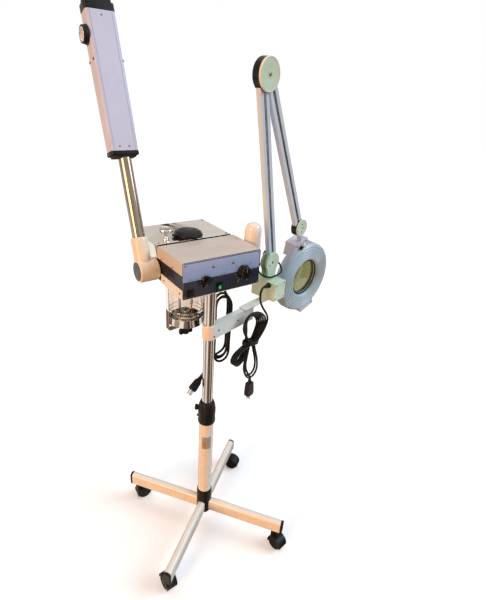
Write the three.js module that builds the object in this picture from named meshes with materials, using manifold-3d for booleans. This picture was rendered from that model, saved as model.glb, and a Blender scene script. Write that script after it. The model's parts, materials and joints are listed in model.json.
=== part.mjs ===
// Facial steamer on a rolling stand, with a ring lamp on a sprung arm.
// Millimetres. The post stands on x = y = 0, the control box faces -Y, +X is its right, +Z is up.
import * as THREE from 'three';
import { mergeVertices } from 'three/addons/utils/BufferGeometryUtils.js';
import Module from 'manifold-3d';

const wasm = await Module();
wasm.setup();

// ---------------------------------------------------------------- driving sizes
const GAP = 0.3; // between pieces that touch
const ROUND = 24; // facets round a turned piece

const HUB_R = 27.5;
const HUB_BOTTOM_Z = 62;
const HUB_TOP_Z = 177;

const LEG_AZIMUTHS = [-53.2, 36.8, 126.8, 216.8];
const LEG_END_R = 312;
const LEG_WIDTH = 26;
const LEG_BOTTOM_Z = 73;
const LEG_TOP_Z = 123;
const LEG_WALL = 2.5;

const CASTER_R = 282; // swivel axis from the post
const CASTER_TRAILS = [-81, -56, -3, 91]; // way each caster trails at rest, degrees
const CASTER_TRAIL = 18;
const WHEEL_R = 26;
const WHEEL_WIDTH = 13;
const CASTER_WEB = 13;
const CASTER_STEM_R = 5;

const OUTER_COLUMN_R = 24.3;
const OUTER_COLUMN_BORE_R = 18.2;
const OUTER_COLUMN_TOP_Z = 540;
const INNER_COLUMN_R = 17.5;
const INNER_COLUMN_BORE_R = 15.5;
const INNER_COLUMN_BOTTOM_Z = 300;

const CLAMP_BOTTOM_Z = 501;
const CLAMP_TOP_Z = 587;
const CLAMP_KNOB_Z = 558;
const CLAMP_KNOB_AZIMUTH = 143;

const BRACKET_YAW = 14;
const BAR_TOP_Z = 877;
const BAR_BOTTOM_Z = 826;
const BAR_WIDTH = 20;
const BAR_END = 198;
const COLLAR_R = 21.5;
const BALLAST = { x0: 262, x1: 322, y0: -43, y1: 56, z0: 880.3, z1: 945 };
const BALLAST_WALL = 2;
const GROMMET = { y: -17.4, z: 935.5 };

// Lamp: u runs out from its swivel axis, z up; the arm moves in that plane.
const LAMP_SWIVEL = { x: 295, y: 15 }; // in the bracket's own frame
const LOWER_PIVOT = { u: 0, z: 1003 };
const ELBOW = { u: -97, z: 1557 };
const HEAD_JOINT = { u: 157, z: 1092 };
const RING = { u: 223, z: 883.4 };
const RING_ROLL = 5; // rest turn of the ring about its neck
const LOWER_LINK = { from: [12, 1003], to: [-114.5, 1557] };
const UPPER_LINK = { from: [-85, 1557], to: [152.9, 1092] };
const LINK_WIDTH = 36;
const LINK_HALF_THICK = 8;
const DRUM_HALF_THICK = 12.5;
const DISC_FRONT = 16; // the coloured discs stand this far in front of the arm's middle plane
const LOWER_DISC_R = 34;
const ELBOW_DISC_R = 43;
const HEAD_DISC_R = 30;
const PIVOT_PIN_R = 5;

const RING_R = 136.5;
const RING_HALF_THICK = 22;
const RING_BORE_R = 70;
const LENS_SIGHT_R = 66;
const RING_WALL = 2.5;
const RING_FACETS = 40;
const TUBE_RING_R = 101;
const TUBE_R = 8;

const BOX_HALF_WIDTH = 123.5;
const BOX_TOP_Z = 1121.5;
const BOX_BOTTOM_Z = 1017.5;
const PANEL_FRONT_Y = -62.5;
const PANEL_THICK = 3;
const SHEET = 1.5;
const COVER_BACK_Y = 88;
const COVER_BOTTOM_Z = 1085;
const COVER_CORNER_R = 12;
const TRAY_BACK_Y = 66;
const TRAY_TOP_Z = 1045;
const HOUSING_FRONT_Y = 90;
const HOUSING_BACK_Y = 257;
const HOUSING_BOTTOM_Z = 1022;

const STEAM_KNOB = { x: -56, z: 1064, r: 13 };
const TIMER_KNOB = { x: 65, z: 1065, r: 19.5 };
const SWITCH = { x: -12, z: 1035, width: 13, height: 19, rest: 8 };
const FUSE = { x: -101, z: 1036 };

const FILLER = { x: -4, y: 128, r: 42 };
const VALVE = { x: -84, y: 113 };
const JAR = { x: 0, y: 150, r: 57, wall: 4, z0: 824.3, z1: 1015.5 };
const DISH_R = 60;
const STIRRUP_X = 64;
const STIRRUP_WIDTH = 20;
const CROSSBAR_Z = 806;

const STEAM_PIVOT = { y: 97, z: 1050 };
const ELBOW_DRUM_R = 32;
const STEAM_ARM_X = -158;
const STEAM_LEAN = 19.73;
const SOCKET_R = 23;
const SOCKET_END = 92;
const ARM_TUBE_R = 17.2;
const HEAD = { start: 318, end: 653, width: 76, depth: 44, shift: -2 };
const NOZZLE_AT = 600;

const GRIP = { x: 160, y: 28, r: 25, z0: 1030, z1: 1168 };

const MAINS_R = 4;
const LAMP_LEAD_R = 3.5;
const ARM_CABLE_R = 3;

// ---------------------------------------------------------------- solid helpers
const deg = THREE.MathUtils.degToRad;

function outwardManifold(geometry) {
  const bare = geometry.clone();
  bare.deleteAttribute('normal');
  bare.deleteAttribute('uv');
  const merged = mergeVertices(bare, 1e-4);
  const index = merged.index.array;
  const kept = [];
  for (let i = 0; i < index.length; i += 3) {
    const [a, b, c] = [index[i], index[i + 1], index[i + 2]];
    if (a !== b && b !== c && c !== a) kept.push(a, b, c);
  }
  const build = (corners) => new wasm.Manifold(new wasm.Mesh({
    numProp: 3,
    vertProperties: new Float32Array(merged.attributes.position.array),
    triVerts: new Uint32Array(corners),
  }));
  const body = build(kept);
  if (body.volume() > 0) return body;
  const turned = [];
  for (let i = 0; i < kept.length; i += 3) turned.push(kept[i], kept[i + 2], kept[i + 1]);
  return build(turned);
}

function toGeometry(body) {
  const mesh = body.getMesh();
  const geometry = new THREE.BufferGeometry();
  geometry.setAttribute('position', new THREE.BufferAttribute(mesh.vertProperties, 3));
  geometry.setIndex(new THREE.BufferAttribute(mesh.triVerts, 1));
  geometry.computeVertexNormals();
  return geometry;
}

const solid = (shape) => (shape.isBufferGeometry ? outwardManifold(shape) : shape);

function union(...shapes) {
  return shapes.map(solid).reduce((sum, next) => sum.add(next));
}

function cut(body, ...tools) {
  return tools.map(solid).reduce((left, tool) => left.subtract(tool), solid(body));
}

function shapeOf(points) {
  return new THREE.Shape(points.map(([a, b]) => new THREE.Vector2(a, b)));
}

function arcPoints(cx, cy, r, from, to, steps) {
  const points = [];
  for (let i = 0; i <= steps; i += 1) {
    const angle = deg(from + ((to - from) * i) / steps);
    points.push([cx + r * Math.cos(angle), cy + r * Math.sin(angle)]);
  }
  return points;
}

// Rectangle centred on (cx, cy); radii go round from the lower right corner.
function roundedRect(cx, cy, width, height, radii, steps = 3) {
  const corners = [[1, -1, -90], [1, 1, 0], [-1, 1, 90], [-1, -1, 180]];
  return corners.flatMap(([sx, sy, start], i) => {
    const r = radii[i];
    return arcPoints(cx + sx * (width / 2 - r), cy + sy * (height / 2 - r), r, start, start + 90, steps);
  });
}

function extruded(points, length) {
  return new THREE.ExtrudeGeometry(shapeOf(points), { depth: length, bevelEnabled: false, steps: 1 });
}

function placed(geometry, ex, ey, ez, origin) {
  const matrix = new THREE.Matrix4().makeBasis(ex, ey, ez);
  matrix.setPosition(origin);
  return solid(geometry.applyMatrix4(matrix));
}

const X = new THREE.Vector3(1, 0, 0);
const Y = new THREE.Vector3(0, 1, 0);
const Z = new THREE.Vector3(0, 0, 1);
const at = (x, y, z) => new THREE.Vector3(x, y, z);

// Outline in (y, z), swept along X.
const prismX = (points, x0, x1) => placed(extruded(points, x1 - x0), Y, Z, X, at(x0, 0, 0));
// Outline in (x, z), swept along Y.
const prismY = (points, y0, y1) => placed(extruded(points, y1 - y0), X, Z, Y.clone().negate(), at(0, y1, 0));
// Outline in (x, y), swept along Z.
const prismZ = (points, z0, z1) => placed(extruded(points, z1 - z0), X, Y, Z, at(0, 0, z0));

function block(x0, x1, y0, y1, z0, z1) {
  return prismZ([[x0, y0], [x1, y0], [x1, y1], [x0, y1]], z0, z1);
}

// Profile of [radius, height] pairs turned about the direction dir through origin.
function turned(profile, origin = at(0, 0, 0), dir = Z, segments = ROUND) {
  const points = profile.map(([r, h]) => new THREE.Vector2(r, h));
  const geometry = new THREE.LatheGeometry(points, segments);
  const turn = new THREE.Quaternion().setFromUnitVectors(Y, dir.clone().normalize());
  geometry.applyQuaternion(turn);
  geometry.translate(origin.x, origin.y, origin.z);
  return solid(geometry);
}

function rod(r, from, to, segments = ROUND) {
  const span = to.clone().sub(from);
  return turned([[0, 0], [r, 0], [r, span.length()], [0, span.length()]], from, span, segments);
}

function pipe(outer, inner, from, to, segments = ROUND) {
  const span = to.clone().sub(from);
  const h = span.length();
  return turned([[inner, 0], [outer, 0], [outer, h], [inner, h], [inner, 0]], from, span, segments);
}

function lead(points, r, steps) {
  const path = new THREE.CatmullRomCurve3(points.map((p) => at(...p)), false, 'centripetal');
  const ring = shapeOf(arcPoints(0, 0, r, 0, 315, 7));
  return solid(new THREE.ExtrudeGeometry(ring, { steps, extrudePath: path, bevelEnabled: false }));
}

const LOOKS = {
  white: { color: '#ece8dc', roughness: 0.42, metalness: 0 },
  pale: { color: '#dfe4da', roughness: 0.45, metalness: 0 },
  green: { color: '#cfe3cd', roughness: 0.4, metalness: 0 },
  black: { color: '#17181a', roughness: 0.6, metalness: 0 },
  blackGloss: { color: '#101114', roughness: 0.3, metalness: 0 },
  rubber: { color: '#151515', roughness: 0.8, metalness: 0 },
  grey: { color: '#5a5c60', roughness: 0.7, metalness: 0 },
  chrome: { color: '#c8cacc', roughness: 0.12, metalness: 1 },
  brass: { color: '#b58a46', roughness: 0.3, metalness: 1 },
  panel: { color: '#a9c1e4', roughness: 0.35, metalness: 0 },
  lilac: { color: '#dfe1ee', roughness: 0.4, metalness: 0 },
  diffuser: { color: '#e6ebf4', roughness: 0.25, metalness: 0 },
  glass: { color: '#dfe9ea', roughness: 0.05, metalness: 0 },
  lit: { color: '#3fae62', roughness: 0.3, metalness: 0 },
};

function node(name, look, body, parent) {
  const material = new THREE.MeshStandardMaterial(LOOKS[look]);
  const mesh = new THREE.Mesh(toGeometry(body), material);
  mesh.name = name;
  parent.add(mesh);
  return mesh;
}

// ---------------------------------------------------------------- rolling base
function hub() {
  return turned([
    [0, HUB_BOTTOM_Z], [HUB_R - 2, HUB_BOTTOM_Z], [HUB_R, HUB_BOTTOM_Z + 2],
    [HUB_R, HUB_TOP_Z - 2], [HUB_R - 2, HUB_TOP_Z], [0, HUB_TOP_Z],
  ]);
}

// One leg along +X from the hub, hollow, with the caster's stem hole near its end.
function leg() {
  const middle = (LEG_BOTTOM_Z + LEG_TOP_Z) / 2;
  const height = LEG_TOP_Z - LEG_BOTTOM_Z;
  const outside = roundedRect(0, middle, LEG_WIDTH, height, [4, 12, 12, 4], 3);
  const inside = roundedRect(0, middle, LEG_WIDTH - 2 * LEG_WALL, height - 2 * LEG_WALL, [2, 9.5, 9.5, 2], 2);
  return cut(
    prismX(outside, HUB_R - 8, LEG_END_R),
    prismX(inside, HUB_R - 9, LEG_END_R - 8),
    rod(HUB_R + GAP, at(0, 0, 0), at(0, 0, HUB_TOP_Z)),
    rod(CASTER_STEM_R + 0.4, at(CASTER_R, 0, LEG_BOTTOM_Z - 1), at(CASTER_R, 0, LEG_BOTTOM_Z + 5), 16),
  );
}

// Caster fork about its swivel axis, trailing towards +X.
function casterHood() {
  const seat = LEG_BOTTOM_Z - GAP;
  const cover = [
    ...arcPoints(CASTER_TRAIL, WHEEL_R, WHEEL_R + 4, 200, -10, 8),
    ...arcPoints(CASTER_TRAIL, WHEEL_R, WHEEL_R + 1.5, -10, 200, 8),
  ];
  const web = [
    [-9, 62], [-10, 40], [-6, 24], [CASTER_TRAIL - 5, 16], [CASTER_TRAIL + 6, 17],
    [CASTER_TRAIL + 20, 30], [CASTER_TRAIL + 16, 50], [9, 62],
  ];
  const halfWidth = CASTER_WEB / 2 + WHEEL_WIDTH;
  return cut(
    union(
      prismY(cover, -halfWidth, halfWidth),
      prismY(web, -CASTER_WEB / 2 + GAP, CASTER_WEB / 2 - GAP),
      turned([[0, 44], [11, 44], [11, 70], [9, seat], [CASTER_STEM_R, seat], [CASTER_STEM_R, seat + 16],
        [0, seat + 16]], at(0, 0, 0), Z, 14),
    ),
    rod(3.4, at(CASTER_TRAIL, -halfWidth, WHEEL_R), at(CASTER_TRAIL, halfWidth, WHEEL_R), 10),
    casterWheelSpace(-1),
    casterWheelSpace(1),
  );
}

// Room for one wheel inside the hood.
function casterWheelSpace(side) {
  const inner = at(CASTER_TRAIL, (side * (CASTER_WEB - GAP)) / 2, WHEEL_R);
  const outer = at(CASTER_TRAIL, side * (CASTER_WEB + WHEEL_WIDTH), WHEEL_R);
  return rod(WHEEL_R + 1, inner, outer, 20);
}

function casterWheels() {
  const wheel = (side) => {
    const start = at(CASTER_TRAIL, (side * CASTER_WEB) / 2, WHEEL_R);
    const profile = [[0, 0], [WHEEL_R - 1.5, 0], [WHEEL_R, 2], [WHEEL_R, WHEEL_WIDTH - 3],
      [WHEEL_R - 3, WHEEL_WIDTH], [0, WHEEL_WIDTH]];
    return turned(profile, start, Y.clone().multiplyScalar(side), 18);
  };
  const reach = CASTER_WEB / 2 + 2;
  const axle = rod(3, at(CASTER_TRAIL, -reach, WHEEL_R), at(CASTER_TRAIL, reach, WHEEL_R), 8);
  return union(wheel(-1), wheel(1), axle);
}

function rollingBase(root) {
  node('hub', 'black', hub(), root);
  LEG_AZIMUTHS.forEach((azimuth, i) => {
    const arm = new THREE.Group();
    arm.rotation.z = deg(azimuth);
    root.add(arm);
    node(`leg_${i + 1}`, 'white', leg(), arm);
    const caster = new THREE.Group();
    caster.position.set(CASTER_R, 0, 0);
    caster.rotation.z = deg(CASTER_TRAILS[i] - azimuth);
    arm.add(caster);
    node(`caster_hood_${i + 1}`, 'black', casterHood(), caster);
    node(`caster_wheels_${i + 1}`, 'grey', casterWheels(), caster);
  });
}

// ---------------------------------------------------------------- post
function heightClamp() {
  const step = OUTER_COLUMN_TOP_Z + GAP;
  const sleeve = turned([
    [OUTER_COLUMN_R + GAP, CLAMP_BOTTOM_Z], [26.5, CLAMP_BOTTOM_Z], [29.5, CLAMP_BOTTOM_Z + 7],
    [29.5, 560], [28, 572], [23, CLAMP_TOP_Z], [INNER_COLUMN_R + GAP, CLAMP_TOP_Z],
    [INNER_COLUMN_R + GAP, step], [OUTER_COLUMN_R + GAP, step], [OUTER_COLUMN_R + GAP, CLAMP_BOTTOM_Z],
  ]);
  const way = new THREE.Vector3(Math.cos(deg(CLAMP_KNOB_AZIMUTH)), Math.sin(deg(CLAMP_KNOB_AZIMUTH)), 0);
  const from = (r) => way.clone().multiplyScalar(r).setZ(CLAMP_KNOB_Z);
  return cut(union(sleeve, rod(9, from(23), from(31), 18)), rod(4.4, from(10), from(40), 14));
}

// Fluted knob with its stud, about its own axis.
function clampKnob() {
  const way = new THREE.Vector3(Math.cos(deg(CLAMP_KNOB_AZIMUTH)), Math.sin(deg(CLAMP_KNOB_AZIMUTH)), 0);
  const from = (r) => way.clone().multiplyScalar(r).setZ(CLAMP_KNOB_Z);
  const grip = turned([[0, 31.4], [9, 31.4], [10, 33], [10, 38], [8, 40], [0, 40]], from(0), way, 18);
  return union(grip, rod(4, from(INNER_COLUMN_R + GAP), from(33), 12));
}

function post(root) {
  const bore = OUTER_COLUMN_BORE_R;
  const outer = pipe(OUTER_COLUMN_R, bore, at(0, 0, HUB_TOP_Z + GAP), at(0, 0, OUTER_COLUMN_TOP_Z));
  const top = BOX_BOTTOM_Z - GAP;
  const inner = pipe(INNER_COLUMN_R, INNER_COLUMN_BORE_R, at(0, 0, INNER_COLUMN_BOTTOM_Z), at(0, 0, top));
  node('outer_column', 'white', outer, root);
  node('height_clamp', 'black', heightClamp(), root);
  node('clamp_knob', 'black', clampKnob(), root);
  node('inner_column', 'chrome', inner, root);
}

// ---------------------------------------------------------------- lamp bracket
// Collar on the column, bar, and the tongue plate that carries the ballast box.
function lampBracket() {
  const half = BAR_WIDTH / 2;
  const bore = INNER_COLUMN_R + GAP;
  const collar = rod(COLLAR_R, at(0, 0, 835), at(0, 0, 882));
  const bar = cut(
    block(bore + 1, BAR_END, -half, half, BAR_BOTTOM_Z, BAR_TOP_Z),
    block(COLLAR_R + 4, BAR_END - 3, -half + 3, half - 3, BAR_BOTTOM_Z - 1, BAR_TOP_Z - 3),
  );
  const tongue = prismZ(roundedRect(235, 0, 170, 32, [6, 6, 6, 6], 2), BAR_TOP_Z - 0.5, BALLAST.z0 - GAP);
  return cut(union(collar, bar, tongue), rod(bore, at(0, 0, 800), at(0, 0, 900)));
}

function ballastBox() {
  const { x0, x1, y0, y1, z0, z1 } = BALLAST;
  const w = BALLAST_WALL;
  return cut(
    block(x0, x1, y0, y1, z0, z1),
    block(x0 + w, x1 - w, y0 + w, y1 - w, z0 - 1, z1 - w),
    rod(5.3, at(x0 - 5, GROMMET.y, GROMMET.z), at(x0 + 5, GROMMET.y, GROMMET.z), 16),
  );
}

// Tapered bush for the lamp's lead, pushed into the box's side.
function lampGrommet() {
  const x = BALLAST.x0;
  const from = at(x + 4, GROMMET.y, GROMMET.z);
  return turned([[0, 0], [5, 0], [5, 4.3], [9, 4.3], [9, 9], [6.5, 12], [LAMP_LEAD_R + 1, 30], [0, 30]],
    from, X.clone().negate(), 18);
}

function lampLead() {
  return lead([
    [BALLAST.x0 - 26.3, GROMMET.y, GROMMET.z],
    [BALLAST.x0 - 33, GROMMET.y, GROMMET.z - 0.3],
    [BALLAST.x0 - 40, GROMMET.y - 1, GROMMET.z - 3.5],
    [BALLAST.x0 - 52, -21, 922],
    [BALLAST.x0 - 66, -25, 904],
    [190, -28, 889],
    [184.8, -29.5, 878],
    [182, -30, 868],
  ], LAMP_LEAD_R, 18);
}

// Outer shape of the put-away lead: a loop over the bar's end, tied, then two hanging lobes.
function lampHank() {
  const outline = [
    [154, 881], [116, 866], [115, 848], [125, 814], [140, 779], [106, 760], [69, 736], [78, 706],
    [103, 703], [124, 680], [127, 650], [143, 624], [177, 609], [204, 601], [217, 620], [215, 651],
    [201, 706], [195, 739], [199, 754], [232, 769], [241, 795], [229, 821], [208, 842], [176, 869],
  ];
  return prismY(outline, -44, -16);
}

function lampPlug() {
  const relief = turned([[0, 0], [LAMP_LEAD_R + 1, 0], [7.5, 26], [9, 30], [0, 30]],
    at(182, -30, 605), at(0.11, 0, -0.99), 14);
  const foot = [[172, 578], [168, 540], [170, 524], [196, 522], [203, 532], [197, 578]];
  const prong = (x) => block(x - 3.2, x + 3.2, -30.8, -29.2, 505, 526);
  return union(relief, prismY(foot, -39, -21), prong(176), prong(191),
    rod(2.6, at(183.5, -35, 505), at(183.5, -35, 526), 10));
}

// ---------------------------------------------------------------- ring lamp
// These work in the arm's own frame: u along X, the arm's thickness along Y, z up.
function strip(from, to, width) {
  const along = new THREE.Vector2(to[0] - from[0], to[1] - from[1]).normalize();
  const side = new THREE.Vector2(-along.y, along.x).multiplyScalar(width / 2);
  return [
    [from[0] - side.x, from[1] - side.y], [to[0] - side.x, to[1] - side.y],
    [to[0] + side.x, to[1] + side.y], [from[0] + side.x, from[1] + side.y],
  ];
}

function disc(centre, r, y0, y1, segments = 32) {
  return rod(r, at(centre.u, y0, centre.z), at(centre.u, y1, centre.z), segments);
}

// Bar section of an arm with the long groove down its front face.
function link({ from, to }) {
  const groove = strip(from, to, 7);
  return cut(
    prismY(strip(from, to, LINK_WIDTH), -LINK_HALF_THICK, LINK_HALF_THICK),
    prismY(groove, -LINK_HALF_THICK - 1, -LINK_HALF_THICK + 2),
  );
}

function lampYoke() {
  const half = DRUM_HALF_THICK;
  const cheek = (y0, y1) => union(
    disc(LOWER_PIVOT, LOWER_DISC_R, y0, y1, 28),
    prismY([[-18, 948], [18, 948], [24, 990], [-24, 990]], y0, y1),
  );
  const seat = BALLAST.z1 + GAP;
  const base = turned([[0, seat], [26, seat], [26, 949], [24, 951], [0, 951]], at(0, 0, 0), Z, 28);
  const arched = union(base, cheek(-DISC_FRONT, -LINK_HALF_THICK - 0.5), cheek(LINK_HALF_THICK + 0.5, half));
  const knob = union(
    rod(6, at(10, half - 1, 1020), at(10, 18, 1020), 14),
    turned([[0, 0], [14, 0], [14, 9], [12, 12], [0, 12]], at(10, 16, 1020), Y, 18),
  );
  const gland = turned([[0, 0], [7, 0], [7, 7], [5, 11], [0, 11]], at(25, -2, 947), Z, 14);
  const step = block(10, 33, -10, 6, seat, 951);
  const pinHole = disc(LOWER_PIVOT, PIVOT_PIN_R + GAP, -DRUM_HALF_THICK + 0.5, half + 1, 18);
  return cut(union(arched, knob, gland, step), pinHole);
}

function lampArmCable() {
  return lead([
    [-27, 16, 996],
    [-34, 16, 992],
    [-41, 14, 982],
    [-42, 6, 971],
    [-37, -8, 962],
    [-22, -22, 957],
    [0, -26, 956],
    [20, -25, 960],
    [32, -18, 967],
    [34, -9, 971],
    [29, -3, 970],
    [25.3, -2, 964],
    [25, -2, 958.4],
  ], ARM_CABLE_R, 30);
}

function lowerArm() {
  const bar = cut(
    union(link(LOWER_LINK), disc(LOWER_PIVOT, LINK_WIDTH / 2, -LINK_HALF_THICK, LINK_HALF_THICK, 24)),
    disc(ELBOW, ELBOW_DISC_R + 0.5, -20, 0.15),
    disc(ELBOW, ELBOW_DISC_R - 1, -20, 20),
  );
  const drum = disc(ELBOW, ELBOW_DISC_R, 0.15, DRUM_HALF_THICK);
  const pin = disc(LOWER_PIVOT, PIVOT_PIN_R, -DRUM_HALF_THICK + 1, DRUM_HALF_THICK - 0.5, 18);
  return union(bar, drum, disc(ELBOW, 7, -7, 1, 18), pin);
}

function upperArm() {
  const bar = cut(
    link(UPPER_LINK),
    disc(ELBOW, ELBOW_DISC_R + 0.5, -0.15, 20),
    disc(ELBOW, ELBOW_DISC_R - 1, -20, 20),
    disc(HEAD_JOINT, HEAD_DISC_R + 0.5, -0.15, 20),
  );
  const front = -DISC_FRONT;
  const rear = -0.15;
  return cut(
    union(bar, disc(ELBOW, ELBOW_DISC_R, front, rear), disc(HEAD_JOINT, HEAD_DISC_R, front, rear, 32)),
    disc(ELBOW, 7 + GAP, -7.5, 1, 18),
    disc(HEAD_JOINT, 6 + GAP, -7.5, 1, 18),
  );
}

// Direction from the head joint to the middle of the ring.
const headWay = at(RING.u - HEAD_JOINT.u, 0, RING.z - HEAD_JOINT.z).normalize();
const onHeadWay = (s) => at(HEAD_JOINT.u, 0, HEAD_JOINT.z).addScaledVector(headWay, s);
const RIM_AT = Math.hypot(RING.u - HEAD_JOINT.u, RING.z - HEAD_JOINT.z) - RING_R;

function headYoke() {
  const neck = cut(
    rod(9, onHeadWay(20), onHeadWay(54), 20),
    disc(HEAD_JOINT, HEAD_DISC_R + 0.6, -30, 0.15),
  );
  return union(
    disc(HEAD_JOINT, HEAD_DISC_R, 0.15, DRUM_HALF_THICK, 32),
    disc(HEAD_JOINT, 6, -7, 1, 18),
    neck,
    rod(5, onHeadWay(50), onHeadWay(70), 16),
  );
}

// Annular shell behind the tube, with the winged foot and rear box that hold the neck and the tab at the far rim.
function headHousing() {
  const back = RING_HALF_THICK;
  const w = RING_WALL;
  const centre = at(RING.u, 0, RING.z);
  const shell = turned([
    [RING_R - w, 0], [RING_R, 0], [RING_R, back - 6], [RING_R - 6, back], [RING_BORE_R, back],
    [RING_BORE_R, 9], [LENS_SIGHT_R, 9], [LENS_SIGHT_R, 6.8], [RING_BORE_R, 6.8],
    [RING_BORE_R, 0], [RING_BORE_R + w, 0], [RING_BORE_R + w, back - w],
    [RING_R - 7, back - w], [RING_R - w, back - 7], [RING_R - w, 0],
  ], centre, Y, RING_FACETS);
  const socket = rod(11, onHeadWay(54.3), onHeadWay(RIM_AT + 4), 20);
  const sideways = at(-headWay.z, 0, headWay.x);
  const plate = (corners) => corners.map(([s, t]) => pointOf(onHeadWay(s).addScaledVector(sideways, t)));
  const foot = prismY(plate([[56, -30], [66, -34], [RIM_AT + 26, -78], [RIM_AT + 26, 78], [66, 34], [56, 30]]), -10, 12);
  const rearBox = prismY(plate([[58, -26], [RIM_AT + 20, -48], [RIM_AT + 20, 48], [58, 26]]), 11.5, 42);
  const tabFrom = onHeadWay(RIM_AT + 2 * RING_R - 6);
  const tabTo = onHeadWay(RIM_AT + 2 * RING_R + 15);
  const tab = prismY(strip(pointOf(tabFrom), pointOf(tabTo), 80), 2, 14);
  const bore = disc(RING, RING_R - w - 0.2, -30, 13, RING_FACETS);
  const screwFoot = onHeadWay(RIM_AT - 1).addScaledVector(sideways, 17);
  const screw = rod(5, screwFoot.clone().setY(-20), screwFoot.clone().setY(-8), 12);
  const outside = cut(union(socket, foot, rearBox, tab, screw), bore);
  return cut(union(shell, outside), rod(5 + GAP, onHeadWay(50), onHeadWay(71), 16),
    cut(disc(RING, RING_R + GAP, -30, 0, RING_FACETS), disc(RING, 10, -31, 1, 6)));
}

const pointOf = (v) => [v.x, v.z];

function diffuserRing() {
  const w = RING_WALL;
  const front = -RING_HALF_THICK;
  const rear = -GAP;
  const centre = at(RING.u, 0, RING.z);
  return turned([
    [RING_R - w, rear], [RING_R - 0.5, rear], [RING_R - 0.5, front + 9], [RING_R - 4, front + 3],
    [RING_R - 10, front], [RING_BORE_R + 8, front], [RING_BORE_R, front + 9],
    [RING_BORE_R, -9], [LENS_SIGHT_R, -9], [LENS_SIGHT_R, -6.8], [RING_BORE_R, -6.8],
    [RING_BORE_R, rear], [RING_BORE_R + w, rear], [RING_BORE_R + w, front + 9], [RING_BORE_R + 9, front + w],
    [RING_R - 11, front + w], [RING_R - w - 1, front + 9], [RING_R - w, rear],
  ], centre, Y, RING_FACETS);
}

function lampLens() {
  const r = RING_BORE_R - 0.5;
  const dome = (side) => [0.97, 0.7, 0.35].map((k) => [r * k, side * (2.2 + 4 * (1 - k * k))]);
  return turned([[0, -6.2], ...dome(-1).reverse(), [r, -2], [r, 2], ...dome(1), [0, 6.2]],
    at(RING.u, 0, RING.z), Y, 32);
}

function circularTube() {
  const torus = new THREE.TorusGeometry(TUBE_RING_R, TUBE_R, 8, 32);
  torus.rotateX(Math.PI / 2);
  torus.translate(RING.u, 3, RING.z);
  return solid(torus);
}

function lampSide(root) {
  const bracket = new THREE.Group();
  bracket.rotation.z = deg(BRACKET_YAW);
  root.add(bracket);
  node('lamp_bracket', 'white', lampBracket(), bracket);
  node('ballast_box', 'green', ballastBox(), bracket);
  node('lamp_cord_grommet', 'rubber', lampGrommet(), bracket);
  node('lamp_cord', 'rubber', lampLead(), bracket);
  node('lamp_hank', 'rubber', lampHank(), bracket);
  node('lamp_plug', 'black', lampPlug(), bracket);

  const arm = new THREE.Group();
  arm.position.set(LAMP_SWIVEL.x, LAMP_SWIVEL.y, 0);
  bracket.add(arm);
  node('lamp_yoke', 'green', lampYoke(), arm);
  node('lamp_arm_cable', 'rubber', lampArmCable(), arm);
  node('lower_arm', 'pale', lowerArm(), arm);
  node('upper_arm', 'pale', upperArm(), arm);
  node('head_yoke', 'pale', headYoke(), arm);
  const head = new THREE.Group();
  const joint = onHeadWay(0);
  head.quaternion.setFromAxisAngle(headWay, deg(RING_ROLL));
  head.position.copy(joint).sub(joint.clone().applyQuaternion(head.quaternion));
  arm.add(head);
  node('head_housing', 'lilac', headHousing(), head);
  node('diffuser_ring', 'diffuser', diffuserRing(), head);
  node('lens', 'glass', lampLens(), head);
  node('circular_tube', 'glass', circularTube(), head);
}

// ---------------------------------------------------------------- control box
function controlChassis() {
  const x = BOX_HALF_WIDTH - 2;
  const y0 = PANEL_FRONT_Y + PANEL_THICK + GAP;
  const y1 = HOUSING_FRONT_Y - GAP;
  const z0 = BOX_BOTTOM_Z + SHEET + GAP;
  const z1 = BOX_TOP_Z - COVER_CORNER_R - 2;
  const w = 2;
  return cut(block(-x, x, y0, y1, z0, z1), block(-x + w, x - w, y0 + w, y1 + 1, z0 + w, z1 - w),
    switchOpening(16, 22, y0 - 1, y0 + 3));
}

function switchOpening(width, height, y0, y1) {
  const { x, z } = SWITCH;
  return block(x - width / 2, x + width / 2, y0, y1, z - height / 2, z + height / 2);
}

// Folded cover: top and both sides, with a rounded edge at the back.
function upperCover() {
  const y0 = PANEL_FRONT_Y + PANEL_THICK + GAP;
  const side = (back, top, r, front, bottom) => [
    [front, bottom], [back, bottom], ...arcPoints(back - r, top - r, r, 0, 90, 4), [front, top],
  ];
  const w = SHEET;
  const outside = side(COVER_BACK_Y, BOX_TOP_Z, COVER_CORNER_R, y0, COVER_BOTTOM_Z);
  const innerCorner = COVER_CORNER_R - w;
  const inside = side(COVER_BACK_Y - w, BOX_TOP_Z - w, innerCorner, y0 - 1, COVER_BOTTOM_Z - 1);
  const x = BOX_HALF_WIDTH;
  const shell = cut(prismX(outside, -x, x), prismX(inside, -x + w, x - w));
  const open = BOX_TOP_Z - COVER_CORNER_R - 1;
  return cut(shell, block(-x + w, x - w, COVER_BACK_Y - 14, COVER_BACK_Y + 1, COVER_BOTTOM_Z - 1, open));
}

function lowerTray() {
  const x = BOX_HALF_WIDTH;
  const w = SHEET;
  const y0 = PANEL_FRONT_Y + PANEL_THICK + GAP;
  const floor = block(-x, x, PANEL_FRONT_Y, TRAY_BACK_Y, BOX_BOTTOM_Z, BOX_BOTTOM_Z + w);
  const side = (x0) => block(x0, x0 + w, y0, TRAY_BACK_Y, BOX_BOTTOM_Z + 0.5, TRAY_TOP_Z);
  return union(floor, side(-x), side(x - w));
}

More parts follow.
